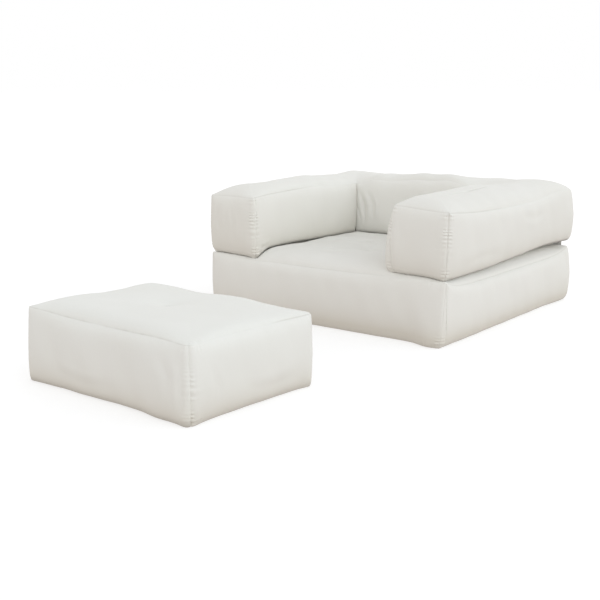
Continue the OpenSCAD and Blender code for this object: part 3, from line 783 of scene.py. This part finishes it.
# The surround
def surround_outline():
    a, b, w, r = HALF_W, HALF_D, WELL_W, WELL_REAR
    return [Edge("left_front", (-a, -b), (-w, -b), draw=SEAM_DRAW / 2),
            Edge("left_inner", (-w, -b), (-w, r), tucked=(0, 1), under=INNER_ROLL),
            Edge("back_inner", (-w, r), (w, r), tucked=(1, 1), puff=9 * MM, under=INNER_ROLL),
            Edge("right_inner", (w, r), (w, -b), tucked=(1, 0), puff=5 * MM, under=INNER_ROLL),
            Edge("right_front", (w, -b), (a, -b), draw=SEAM_DRAW / 2),
            Edge("right_outer", (a, -b), (a, b)),
            Edge("rear", (a, b), (-a, b), REAR_SWELL, 12, 0, puff=0), Edge("left_outer", (-a, b), (-a, -b))]


SURROUND_CROWN = 37 * MM
REAR_CORNER_CROWN = 27 * MM
ARM_DROP = 20 * MM
ARM_RISE = 14 * MM
BACK_DROP = 10 * MM
BACK_RISE = 32 * MM
SURROUND_HILLS = [(-0.125, 0.18, 0.03, -4), (-0.2, 0.17, 0.05, 10), (0, 0.18, 0.05, 6), (0.15, 0.17, 0.08, 17),
                  (0.25, 0.17, 0.03, -6), (-0.11, 0.33, 0.07, -5), (0.42, 0.33, 0.1, 15), (0.26, 0.42, 0.07, 8),
                  (0.5, 0.43, 0.07, 9), (-0.42, 0.33, 0.1, 8), (-0.43, -0.42, 0.07, 5), (-0.4, -0.12, 0.1, 5),
                  (0.4, -0.38, 0.05, -3), (0.38, -0.05, 0.08, 3), (0.42, 0.12, 0.06, 3)]


def soft_min(a, b, k):
    h = unit(0.5 + 0.5 * (b - a) / k)
    return b * (1 - h) + a * h - k * h * (1 - h)


def surround_top(p):
    """The crown over the arms and the back, with s from the outer seam to the inner one and t along both."""
    s_arm = (HALF_W - np.abs(p.x)) / ARM_W
    s_back = (HALF_D - p.y) / BACK_D
    s = unit(soft_min(s_arm, s_back, 0.22))
    s_hard = unit(np.minimum(s_arm, s_back))
    s = np.where(s_hard < TOUCH, 0, s)
    t_arm = unit((p.y + HALF_D) / (2 * HALF_D - s_hard * BACK_D))
    half = HALF_W - s_hard * ARM_W
    t_back = unit((p.x / half + 1) / 2)
    on_back = s_back < s_arm
    t = np.where(on_back, t_back, t_arm)
    outer = np.where(on_back, BACK_DROP, ARM_DROP) * arch(t)
    inner = np.where(on_back, -BACK_RISE, -ARM_RISE) * arch(t)
    middle = -(outer + inner) / 2
    crown = mix(REAR_CORNER_CROWN, SURROUND_CROWN, arch(t))
    ahead = np.where(on_back, 1, unit((p.y + HALF_D) / (ARM_W / 2)))
    rise = (crown - middle) * arch(ahead / 2)
    flat = -(outer + (inner - outer) * s_hard)
    return SURROUND_Z + SURROUND_H + flat + rise * level(s, SWELL_POWER) + hills(p.x, p.y, SURROUND_HILLS)


# How strong the painted contact shadow is along the lower edge of each panel
PAINTED_SHADOW_STRENGTH = {"left_inner": 1.0, "back_inner": 1.0, "right_inner": 1.0, "right_outer": 0.9, "left_outer": 0.8,
           "rear": 0.4, "left_front": 0.3, "right_front": 0.3}


def surround_painted_shadow(p):
    """Painted shadow along the surround's lower edge where it lies on the seat, and a painted shadow line up the tucked
    inner corners.
    """
    strength = np.array([PAINTED_SHADOW_STRENGTH[e.name] for e in surround.edges])[p.edge]
    lower = strength * p.wall * bump(p.base_seam, 9 * MM) * unit(0.4 + p.corner / 0.05)
    crease = 0.6 * bump(p.post_seam, 2.5 * MM) * (p.tuck < 0.02) * (1 - ramp(0.7, 0.95, p.h))
    return np.maximum(lower, p.wall * crease)


# How deep each seam's groove is and how strong the painted shade along its line
def surround_seams(p):
    upper = p.h > 0.5
    show = np.where(p.panel == "left_inner", 0.05 + 0.6 * (1 - ramp(0.3, 0.6, p.t)), 0.4)
    show = np.where(np.isin(p.panel, ("back_inner", "right_inner")) & upper, 0.18, show)
    show = np.where((p.panel == "right_outer") & upper, 0.05 + 0.6 * (1 - ramp(0.25, 0.5, p.t)), show)
    show = np.where(p.at_post & (np.abs(p.x) < WELL_W + 0.02), 0.12, show)
    show = np.where((p.panel == "left_front") & (p.top_seam < p.post_seam), 0.3, show)
    show = np.where(p.at_post & (p.x > WELL_W + 0.02), 0.4 + 0.25 * swing(p.h * 0.7, 2), show)
    crease = (p.tuck < 0.03) & p.at_post
    show = np.where(crease, 1 - ramp(0.72, 0.92, p.h), show)
    return np.where(p.base_seam < 0.02, 1.0, show)


def surround_puckers(p):
    front = (p.y < -HALF_D + 0.06) * (p.tuck > 0.1)
    low = unit(1 - p.h / 0.35)
    high = unit((p.h - 0.5) / 0.3) * (p.x > 0)
    posts = 0.1 + front * (0.35 + 0.6 * low + 0.7 * high + 0.5 * ((p.x < 0) & (p.x > -WELL_W - 0.05)))
    return posts, 0.06 + 0.35 * bump(p.corner, 0.08)


# The height that the painted shade toward the bottom follows: more painted shade on the inner arm faces and the left
# front, less on the back's inner face
def surround_low_shade(p):
    return p.h * (1 - 0.5 * p.on("left_inner", "right_inner", "left_front")) + 0.5 * p.on("back_inner")


surround = Cushion(
    "surround_cushion", surround_outline(), SURROUND_H, extra=((-WELL_W, WELL_W), (WELL_REAR,)),
    top=surround_top, base=surround_base, seams=surround_seams, puckers=surround_puckers, painted_shadow=surround_painted_shadow,
    smooth_posts=lambda p: (p.y > HALF_D - 0.15) | ((p.y < -HALF_D + 0.1) & (np.abs(p.x) < WELL_W + 0.08)),
    low_shade_height=surround_low_shade, lower=1.4, zip_half=ZIP_L / 2, hole=(-WELL_W, WELL_W, -HALF_D - 1, WELL_REAR),
    corners=corner_list(HALF_W, HALF_D, 9 * MM, 34 * MM) + [((s * WELL_W, -HALF_D), (s, 1), 20 * MM) for s in (-1, 1)],
    nudges=[
        (-HALF_W, -HALF_D, 0.5, 0.1, (-7, 0, 0)), (-HALF_W, -HALF_D, 0, 0.05, (-5, -4, 0)),
        (HALF_W, HALF_D, 0.5, 0.14, (9, 2, 0)), (-HALF_W, HALF_D, 0.5, 0.14, (-14, 2, 0)),
        (HALF_W, HALF_D, 0, 0.12, (17, 2, 0)), (HALF_W, HALF_D, 1, 0.1, (7, 2, 0)),
        (-WELL_W, -HALF_D, 1, 0.12, (-12, 0, 0)), (WELL_W, -HALF_D, 1, 0.12, (10, 0, 15)),
        (WELL_W, -HALF_D, 0, 0.12, (-22, 0, 0)), (WELL_W, -HALF_D, 0.5, 0.13, (-11, 0, 0)),
        (HALF_W, -HALF_D, 1, 0.1, (5, 0, 3)), (-WELL_W, -HALF_D, 0, 0.08, (5, 0, 0)),
        (-0.235, WELL_REAR, 0.5, 0.07, (0, 9, 0))],
    folds=[
        ("back_inner", [(24, 190), (46, 130), (52, 70), (44, 30)], 5, 8),
        ("back_inner", [(66, 180), (92, 120), (94, 60)], 3.5, 9),
        ("back_inner", [(16, 120), (30, 70), (28, 40)], 3.5, 6),
        ("left_front", [(55, 200), (48, 130), (60, 60)], 1.6, 10),
        ("left_front", [(110, 190), (118, 120), (105, 50)], 1.2, 9),
        ("left_inner", [(12, 45), (40, 30), (75, 26)], 3, 7),
        ("left_inner", [(10, 30), (28, 16), (50, 14)], 2, 5),
        ("right_front", [(40, 190), (60, 120), (50, 60)], 1.2, 10),
        ("right_outer", [(60, 40), (240, 60), (420, 52)], 1.6, 14),
        ("right_outer", [(520, 180), (640, 150), (760, 158)], 1.4, 14)])


# The footstool
STOOL_PUFF = 9 * MM
STOOL_CROWN = 18 * MM
STOOL_DROP = 7 * MM
STOOL_HILLS = [(-0.28, -0.15, 0.08, 8), (-0.27, 0.04, 0.06, -1), (-0.24, 0.15, 0.08, 4), (-0.08, 0.19, 0.07, -2),
               (0.1, 0.18, 0.08, 4), (0.2, -0.1, 0.07, 2), (0.02, -0.15, 0.07, -2)]


def stool_top(p):
    u, v = p.x / STOOL_HALF_W, p.y / STOOL_HALF_D
    crown = STOOL_CROWN * (1 - np.abs(u) ** 3) * (1 - np.abs(v) ** 3)
    drop = STOOL_DROP * ((1 - u * u) * v ** 6 + (1 - v * v) * u ** 6)
    return STOOL_H + crown - drop - dimple(p.x, p.y, 18 * MM, 50 * MM) + hills(p.x, p.y, STOOL_HILLS)


# How deep each seam's groove is and how strong the painted shade along its line
def stool_seams(p):
    front = 0.55 * (1 - 0.8 * bump(p.x + 0.03, 0.05)) * (0.8 + 0.3 * swing(p.run * 3))
    right = 0.05 + 0.6 * ramp(0.06, 0.14, p.y)
    show = np.where(p.x > STOOL_HALF_W - 0.02, right, 0.5)
    show = np.where(p.y < -STOOL_HALF_D + 0.02, front, show)
    show = np.where(p.at_post, 0.03, show)
    return np.where(p.base_seam < 0.02, 0.5, show)


def stool_puckers(p):
    near = (p.y < 0) * (p.x > 0)
    posts = 0.2 + near * unit(1.2 - p.h / 0.6) * np.where(p.panel == "right", 1.4, 0.2)
    return posts, 0.06 + 0.35 * bump(p.corner, 0.08)


# Painted shadow along the foot of the walls, stronger on the front
def stool_painted_shadow(p):
    return p.wall * (0.14 + 0.16 * p.on("front")) * bump(p.base_seam, 15 * MM)


stool = Cushion(
    "footstool_cushion", square_outline(STOOL_HALF_W, STOOL_HALF_D, STOOL_PUFF), STOOL_H,
    top=stool_top, base=floor_level, seams=stool_seams, puckers=stool_puckers, painted_shadow=stool_painted_shadow,
    smooth_posts=lambda p: (p.x > 0) & (p.y < 0), low_shade_height=lambda p: p.h * 1.3 - 0.15, sharp=0.85,
    zip_half=STOOL_ZIP_L / 2, centre=STOOL_PLACE, turn=STOOL_YAW,
    corners=corner_list(STOOL_HALF_W, STOOL_HALF_D, 10 * MM, 14 * MM)
    + [((STOOL_HALF_W, -STOOL_HALF_D), (-1, 1), 18 * MM)],
    nudges=[
        (STOOL_HALF_W, -STOOL_HALF_D, 1, 0.08, (4, -3, -6)), (-STOOL_HALF_W, -STOOL_HALF_D, 1, 0.08, (3, 0, 0)),
        (-STOOL_HALF_W, -STOOL_HALF_D, 0.5, 0.1, (-8, 0, 0)), (-STOOL_HALF_W, -STOOL_HALF_D, 0, 0.1, (-5, -5, 0)),
        (-0.25, -STOOL_HALF_D, 0, 0.06, (0, -5, 0)), (STOOL_HALF_W, -STOOL_HALF_D, 0, 0.05, (5, -9, 0)),
        (STOOL_HALF_W, STOOL_HALF_D, 1, 0.1, (0, 0, -4)), (STOOL_HALF_W, STOOL_HALF_D, 0.5, 0.12, (7, 4, 0)),
        (0.23, -STOOL_HALF_D, 0, 0.07, (0, -13, 0)), (-0.12, -STOOL_HALF_D, 0, 0.09, (0, -6, 0))],
    folds=[
        ("front", [(560, 190), (600, 120), (590, 60)], 2, 14),
        ("front", [(642, 205), (638, 120), (642, 20)], 5, 11, 0.25),
        ("front", [(120, 60), (260, 42), (400, 56)], 1.8, 14),
        ("right", [(60, 150), (90, 90), (80, 40)], 1.4, 12),
        ("right", [(180, 60), (300, 44), (420, 60)], 1.6, 14)])


# How far from its rim, its seams and its puckered posts a cushion's mesh is made finer
FINE_RIM = 30 * MM
FINE_SEAM = 20 * MM
FINE_POST = 16 * MM


def cover(cushion, material, body, nodes):
    """Swells the cushion, makes its mesh finer where it needs it and finishes it."""
    simulate(cushion)
    p = cushion.pattern()
    refine(cushion.mesh, ~p.base | (p.rim < FINE_RIM))
    refine(cushion.mesh, cushion.pattern().seam < FINE_SEAM)
    p = cushion.pattern()
    refine(cushion.mesh, (p.post_seam < FINE_POST) & (cushion.puckers(p)[0] > 0.5))
    return cushion.finish(material, body, nodes)


def block_nodes(key):
    sides = ("top", "front", "right", "rear", "left", "base")
    return [f"{key}_{side}_panel" for side in sides] + [f"{key}_foam_core"]


CUSHIONS = {
    "seat": cover(seat, cotton_cover, "seat", block_nodes("seat")),
    "surround": cover(surround, cotton_cover, "surround", [
        "surround_top_panel", "left_arm_outer_panel", "back_rear_panel", "right_arm_outer_panel",
        "left_arm_inner_panel", "back_inner_panel", "right_arm_inner_panel", "left_arm_front_panel",
        "right_arm_front_panel", "surround_base_panel", "left_arm_foam", "back_foam", "right_arm_foam"]),
    "stool": cover(stool, stool_cotton, "footstool", block_nodes("stool")),
}


# The small parts
def plain(name, rgb, roughness, rib=0.0):
    """A finish with a fine grain and, on woven tape, ribs that lie rib apart."""
    material, tree, shader = new_material(name, roughness)
    place_in = add_node(tree, "ShaderNodeTexCoord", {}, {}, output=3)
    relief = noise(tree, place_in, 900.0, 2.0)
    if rib:
        along, _, up = parts_of(place_in)
        turns = 2 * math.pi / rib
        relief = (along * turns).sin() * 0.25 + (up * turns).sin() * 0.25 + relief * 0.5
    base = blend_colour(tree, tuple(c * 0.8 for c in rgb), rgb, (relief + 0.3).clamp())
    finish_shader(tree, shader, base, relief, 0.3, 0.2 * MM)
    return material


tape = plain("zip_tape_weave", (0.70, 0.69, 0.65), 0.9, 0.9 * MM)
coil = plain("zip_coil", (0.60, 0.59, 0.56), 0.45)
metal = plain("slider_paint", (0.66, 0.65, 0.62), 0.35)
thread = plain("cotton_thread", (0.74, 0.73, 0.68), 0.85)


def mode(name):
    bpy.ops.object.mode_set(mode=name)


def select_only(*objects):
    bpy.ops.object.select_all(action="DESELECT")
    for obj in objects:
        obj.select_set(True)
    bpy.context.view_layer.objects.active = objects[0]


def pick(obj, chosen):
    """Opens the object for editing with the points selected for which chosen(co) is true."""
    select_only(obj)
    mode("EDIT")
    bpy.ops.mesh.select_mode(type="VERT")
    bpy.ops.mesh.select_all(action="DESELECT")
    mode("OBJECT")
    for v in obj.data.vertices:
        v.select = bool(chosen(v.co))
    mode("EDIT")


def reshape(obj, chosen, operator, **values):
    """Moves or scales the points for which chosen(co) is true."""
    pick(obj, chosen)
    operator(**values)
    mode("OBJECT")


def block(size, at, bevel, segments=2):
    """A block with bevelled edges."""
    bpy.ops.object.select_all(action="DESELECT")
    bpy.ops.mesh.primitive_cube_add(size=1, location=at)
    obj = bpy.context.object
    mode("EDIT")
    bpy.ops.mesh.select_all(action="SELECT")
    bpy.ops.transform.resize(value=size, center_override=at)
    bpy.ops.mesh.bevel(offset=bevel, segments=segments)
    mode("OBJECT")
    bpy.ops.object.transform_apply()
    return obj


def joined(parts):
    select_only(*parts)
    bpy.ops.object.join()
    return parts[0]


def copied(one, places):
    """The modelled piece, repeated at each place in one mesh."""
    co = positions(one.data)
    faces = [list(f.vertices) for f in one.data.polygons]
    points = np.concatenate([co + np.array(spot) for spot in places])
    all_faces = [[i + n * len(co) for i in f] for n in range(len(places)) for f in faces]
    bpy.data.objects.remove(one)
    return add_object("copies", new_mesh("copies", points.tolist(), all_faces))


def settle(obj, name, material, body, slot, nodes=(), centre=(0, 0), turn=0.0):
    """Turns and moves a part to its place, names it and gives it its finish and its body."""
    place(obj.data, turned(positions(obj.data), centre, turn))
    select_only(obj)
    bpy.ops.object.shade_smooth_by_angle(angle=math.radians(35))
    obj.name = name
    obj.data.materials.clear()
    obj.data.materials.append(material)
    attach(obj, body)
    if nodes:
        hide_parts(*nodes)
    return obj


def dress(obj, painted_shadow=0.0):
    """Gives a small cotton piece what the cloth's finish reads."""
    mesh = obj.data
    for name, value in (("seam", 1.0), ("show", 0.0), ("height", 1.0), ("painted_shadow", painted_shadow)):
        store(mesh, name, np.broadcast_to(value, len(mesh.vertices)))
    x, y, z = positions(mesh)[read(mesh.loops, "vertex_index")].T
    lay_cloth(mesh, x, y + z)


STITCH = (3.6 * MM, 0.8 * MM, 0.9 * MM)
STITCH_STEP = 5.5 * MM
STITCH_ROW = 8.5 * MM
STITCH_EDGE = 0.25 * MM
TAPE_T = 1.1 * MM
TOOTH = (1.5 * MM, 1.3 * MM, 4.8 * MM)
TOOTH_STEP = 2.4 * MM
STOP = (3 * MM, 2 * MM, 6 * MM)
SLIDER_START = 6 * MM
SHELL = (11 * MM, 3 * MM, 9 * MM)
BRIDGE = (7 * MM, 1.5 * MM, 2.6 * MM)
PULL = (6 * MM, 1.1 * MM, 24 * MM)


def steps(length, step):
    return np.arange(-length / 2 + step, length / 2 - step / 2, step)


def add_zip(name, body, length, wall, z, *where):
    """A closed zip on a rear wall: two tapes, a coil of teeth, stitches, end stops and a slider with its pull tab."""
    tape_half = TAPE_W / 2 - 1.4 * MM
    tapes = []
    for side in (-1, 1):
        at = (0, wall + 0.4 * MM, z + side * (TAPE_W - tape_half) / 2)
        tapes.append(block((length, TAPE_T, tape_half), at, 0.3 * MM))
        reshape(tapes[-1], lambda co, side=side: (co.z - z) * side > TAPE_W / 2 - 0.5 * MM,
                bpy.ops.transform.translate, value=(0, -0.5 * MM, 0))
    settle(joined(tapes), name + "_tape", tape, body, "zip_tape", [name], *where)
    tooth = block(TOOTH, (0, wall + 1.3 * MM, z), 0.4 * MM, 1)
    spots = [(x, 0, 0.5 * MM * (-1) ** i) for i, x in enumerate(steps(length, TOOTH_STEP))]
    stops = [block(STOP, (s * (length - STOP[0]) / 2, wall + 1.2 * MM, z), 0.6 * MM) for s in (-1, 1)]
    settle(joined([copied(tooth, spots), *stops]), name + "_teeth", coil, body, "zip_tape", (), *where)
    stitch = block(STITCH, (0, wall + 0.7 * MM, z), STITCH_EDGE, 1)
    spots = [(x, 0, s * STITCH_ROW) for s in (-1, 1) for x in steps(length, STITCH_STEP)]
    settle(copied(stitch, spots), name + "_stitches", thread, body, "zip_tape", (), *where)

    x = -length / 2 + SLIDER_START
    shell = block(SHELL, (x, wall + 2.8 * MM, z), 0.9 * MM, 3)
    reshape(shell, lambda co: co.x > x + 4 * MM,
            bpy.ops.transform.resize, value=(1, 0.85, 0.66), center_override=(x, wall + 2.6 * MM, z))
    bridge = block(BRIDGE, (x, wall + 4.5 * MM, z + 2.2 * MM), 0.6 * MM, 3)
    pull = block(PULL, (x, wall + 4.7 * MM, z - 9.5 * MM), 0.45 * MM)
    reshape(pull, lambda co: co.z < z - 19 * MM,
            bpy.ops.transform.resize, value=(0.62, 1, 1), center_override=(x, wall, z))
    pick(pull, lambda co: co.y > wall + 5.1 * MM)
    bpy.ops.mesh.inset(thickness=1.0 * MM)
    bpy.ops.transform.translate(value=(0, -0.35 * MM, 0))
    mode("OBJECT")
    slider = name + "_slider"
    settle(joined([shell, bridge, pull]), name + "_pull", metal, slider, "zip_slider", [slider], *where)


rear_wall = HALF_D + REAR_SWELL - ZIP_SINK
add_zip("seat_zip", "seat", ZIP_L, rear_wall, SEAT_H / 2)
add_zip("surround_zip", "surround", ZIP_L, rear_wall, SURROUND_Z + SURROUND_H / 2)
stool_wall = STOOL_HALF_D + REAR_SWELL - ZIP_SINK
add_zip("stool_zip", "footstool", STOOL_ZIP_L, stool_wall, STOOL_H / 2, STOOL_PLACE, STOOL_YAW)

# Tufting buttons, covered in gathered cotton
BUTTON_R = 8 * MM
BUTTON_RINGS = ((1.12, 0.8), (1.0, 1.4), (0.8, 1.0), (0.75, 0.7))
PLEATS = 16


def add_button(name, body, node, x, y, cushion, cover):
    _, spot, _, _ = cushion.ray_cast((x, y, 2), (0, 0, -1))
    z = spot.z - 0.6 * MM
    bpy.ops.object.select_all(action="DESELECT")
    bpy.ops.mesh.primitive_circle_add(vertices=2 * PLEATS, radius=BUTTON_R, fill_type="NGON", location=(x, y, z))
    obj = bpy.context.object
    mode("EDIT")
    bpy.ops.mesh.select_all(action="SELECT")
    for wider, rise in BUTTON_RINGS:
        bpy.ops.mesh.extrude_region_move(TRANSFORM_OT_translate={"value": (0, 0, rise * MM)})
        bpy.ops.transform.resize(value=(wider, wider, 1), center_override=(x, y, z))
    bpy.ops.mesh.poke()
    mode("OBJECT")
    bpy.ops.object.transform_apply()
    slot_turn = math.pi / PLEATS
    pick(obj, lambda co: math.hypot(co.x - x, co.y - y) > BUTTON_R * 0.6
         and round(math.atan2(co.y - y, co.x - x) / slot_turn) % 2)
    bpy.ops.transform.resize(value=(0.93, 0.93, 1), center_override=(x, y, z))
    bpy.ops.mesh.select_all(action="SELECT")
    bpy.ops.mesh.normals_make_consistent(inside=False)
    mode("OBJECT")
    smooth = obj.modifiers.new("smooth", "SUBSURF")
    smooth.levels = smooth.render_levels = 2
    bpy.ops.object.modifier_apply(modifier="smooth")
    # A faint painted shade over the whole button
    dress(obj, 0.08)
    settle(obj, name, cover, body, "tuft", [node])


bpy.context.view_layer.update()
add_button("seat_button", "seat", "seat_tuft", 0, WELL_MID, CUSHIONS["seat"], cotton_cover)
add_button("footstool_button", "stool_tie", "stool_tuft", *STOOL_PLACE, CUSHIONS["stool"], stool_cotton)

# The hinge: one strip of cotton, sewn to the seat's rear wall and to the surround's
HINGE_W = 944 * MM
HINGE_T = 1.2 * MM
HINGE_LOW = (172 * MM, 196 * MM)
HINGE_HIGH = (266 * MM, 284 * MM)
HINGE_STAND = 0.7 * MM


def wall_y(key, x, z):
    hit, spot, _, _ = CUSHIONS[key].ray_cast((x, 2, z), (0, -1, 0))
    return spot.y if hit else HALF_D


def hinge_y(x, z):
    """Where the strip runs: on the seat's wall, out to the fold line and back on the surround's wall."""
    if z <= HINGE_LOW[1]:
        return wall_y("seat", x, z) + HINGE_STAND
    if z >= HINGE_HIGH[0]:
        return wall_y("surround", x, z) + HINGE_STAND
    key, end = ("seat", HINGE_LOW[1]) if z < FOLD_Z else ("surround", HINGE_HIGH[0])
    sewn = wall_y(key, x, end) + HINGE_STAND
    return sewn + (FOLD_Y - sewn) * float(ramp(0, 1, (z - end) / (FOLD_Z - end)))


def add_hinge():
    xs = np.linspace(-HINGE_W / 2, HINGE_W / 2, 97)
    near_fold = [FOLD_Z + d * MM for d in (-2, -1, 0, 1, 2)]
    zs = lines(HINGE_LOW[0], HINGE_HIGH[1], 4 * MM, (HINGE_LOW[1], *near_fold, HINGE_HIGH[0]))
    points = np.array([(x, hinge_y(x, z), z) for z in zs for x in xs])
    n = len(xs)
    faces = [(i, i + n, i + n + 1, i + 1) for j in range(len(zs) - 1) for i in range(j * n, j * n + n - 1)]
    obj = add_object("hinge_cloth", new_mesh("hinge_cloth", points.tolist(), faces))
    select_only(obj)
    thick = obj.modifiers.new("thick", "SOLIDIFY")
    thick.thickness = HINGE_T
    thick.offset = 0
    bpy.ops.object.modifier_apply(modifier="thick")
    # A painted shadow along the fold's crease and a faint painted shade over the rest of the strip
    dress(obj, 0.05 + 0.5 * bump(positions(obj.data)[:, 2] - FOLD_Z, 7 * MM))
    obj.data.materials.append(cotton_cover)
    bpy.ops.object.shade_smooth_by_angle(angle=math.radians(40))
    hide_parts("seat_hinge_flap", "surround_hinge_flap")
    seams = {"seat": (HINGE_LOW[0] + 4 * MM, HINGE_LOW[1] - 2 * MM),
             "surround": (HINGE_HIGH[0] + 2 * MM, HINGE_HIGH[1] - 4 * MM)}
    for key, levels in seams.items():
        spots = [(x, hinge_y(x, z) + HINGE_T / 2, z) for z in levels for x in steps(HINGE_W, STITCH_STEP)]
        sewn = copied(block(STITCH, (0, 0, 0), STITCH_EDGE, 1), spots)
        settle(sewn, key + "_hinge_stitches", thread, key, "cotton_cover")
    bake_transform(obj)


add_hinge()


# The floor, the light and the camera
SKY = 1.56
SKY_RIGHT = 0.74
SKY_ABOVE = -1.07
BELOW = 0.55
HORIZON = math.sin(math.radians(6))
LOW_TINT = (1.07, 0.985, 0.93)
FRONT_TINT = (1.012, 0.995, 0.99)
COOL_TINT = (0.965, 1.0, 1.025)
FLOOR_ALBEDO = 0.5
FLOOR_GLOW = 0.55


def add_floor():
    bpy.ops.object.select_all(action="DESELECT")
    bpy.ops.mesh.primitive_plane_add(size=400, location=(0, 0, -0.0005))
    floor = bpy.context.object
    floor.name = "floor"
    material, _, _ = new_material("floor_white", 0.9, Base_Color=colour((FLOOR_ALBEDO,) * 3),
                                  Emission_Color=colour((1, 1, 1)), Emission_Strength=FLOOR_GLOW)
    floor.data.materials.append(material)
    floor.visible_diffuse = False


def add_sky():
    """A soft studio: bright walls, a dimmer ceiling, dim light from below and a white horizon."""
    world = bpy.data.worlds.new("studio")
    scene.world = world
    world.use_nodes = True
    tree = world.node_tree
    right, _, above = parts_of(add_node(tree, "ShaderNodeTexCoord", {}, {}))
    over = (above * 20 + 1).clamp()
    sky = right.clamp() * SKY_RIGHT + above.clamp() * SKY_ABOVE + SKY
    strength = over * sky + (1 - over) * BELOW
    band = over * (1 - ((above - HORIZON) * 12).clamp())
    even = add_node(tree, "ShaderNodeMix", {"data_type": "FLOAT"}, {0: band, 2: strength, 3: 1.0})
    tint = blend_colour(tree, FRONT_TINT, COOL_TINT, (above * 0.5 + right * 1.6).clamp())
    tint = blend_colour(tree, LOW_TINT, tint, over)
    tint = blend_colour(tree, tint, (1, 1, 1), band)
    tree.links.new(tint.socket, tree.nodes["Background"].inputs[0])
    tree.links.new(even.socket, tree.nodes["Background"].inputs[1])


add_floor()
add_sky()
scene.view_settings.view_transform = "Standard"

camera_data = bpy.data.cameras.new("camera")
camera = add_object("camera", camera_data)
camera.location = (2.0143, -3.3193, 0.8224)
camera.rotation_euler = (math.radians(78.19), 0, math.radians(36.70))
camera_data.lens = 60.11
camera_data.sensor_width = 36
scene.camera = camera
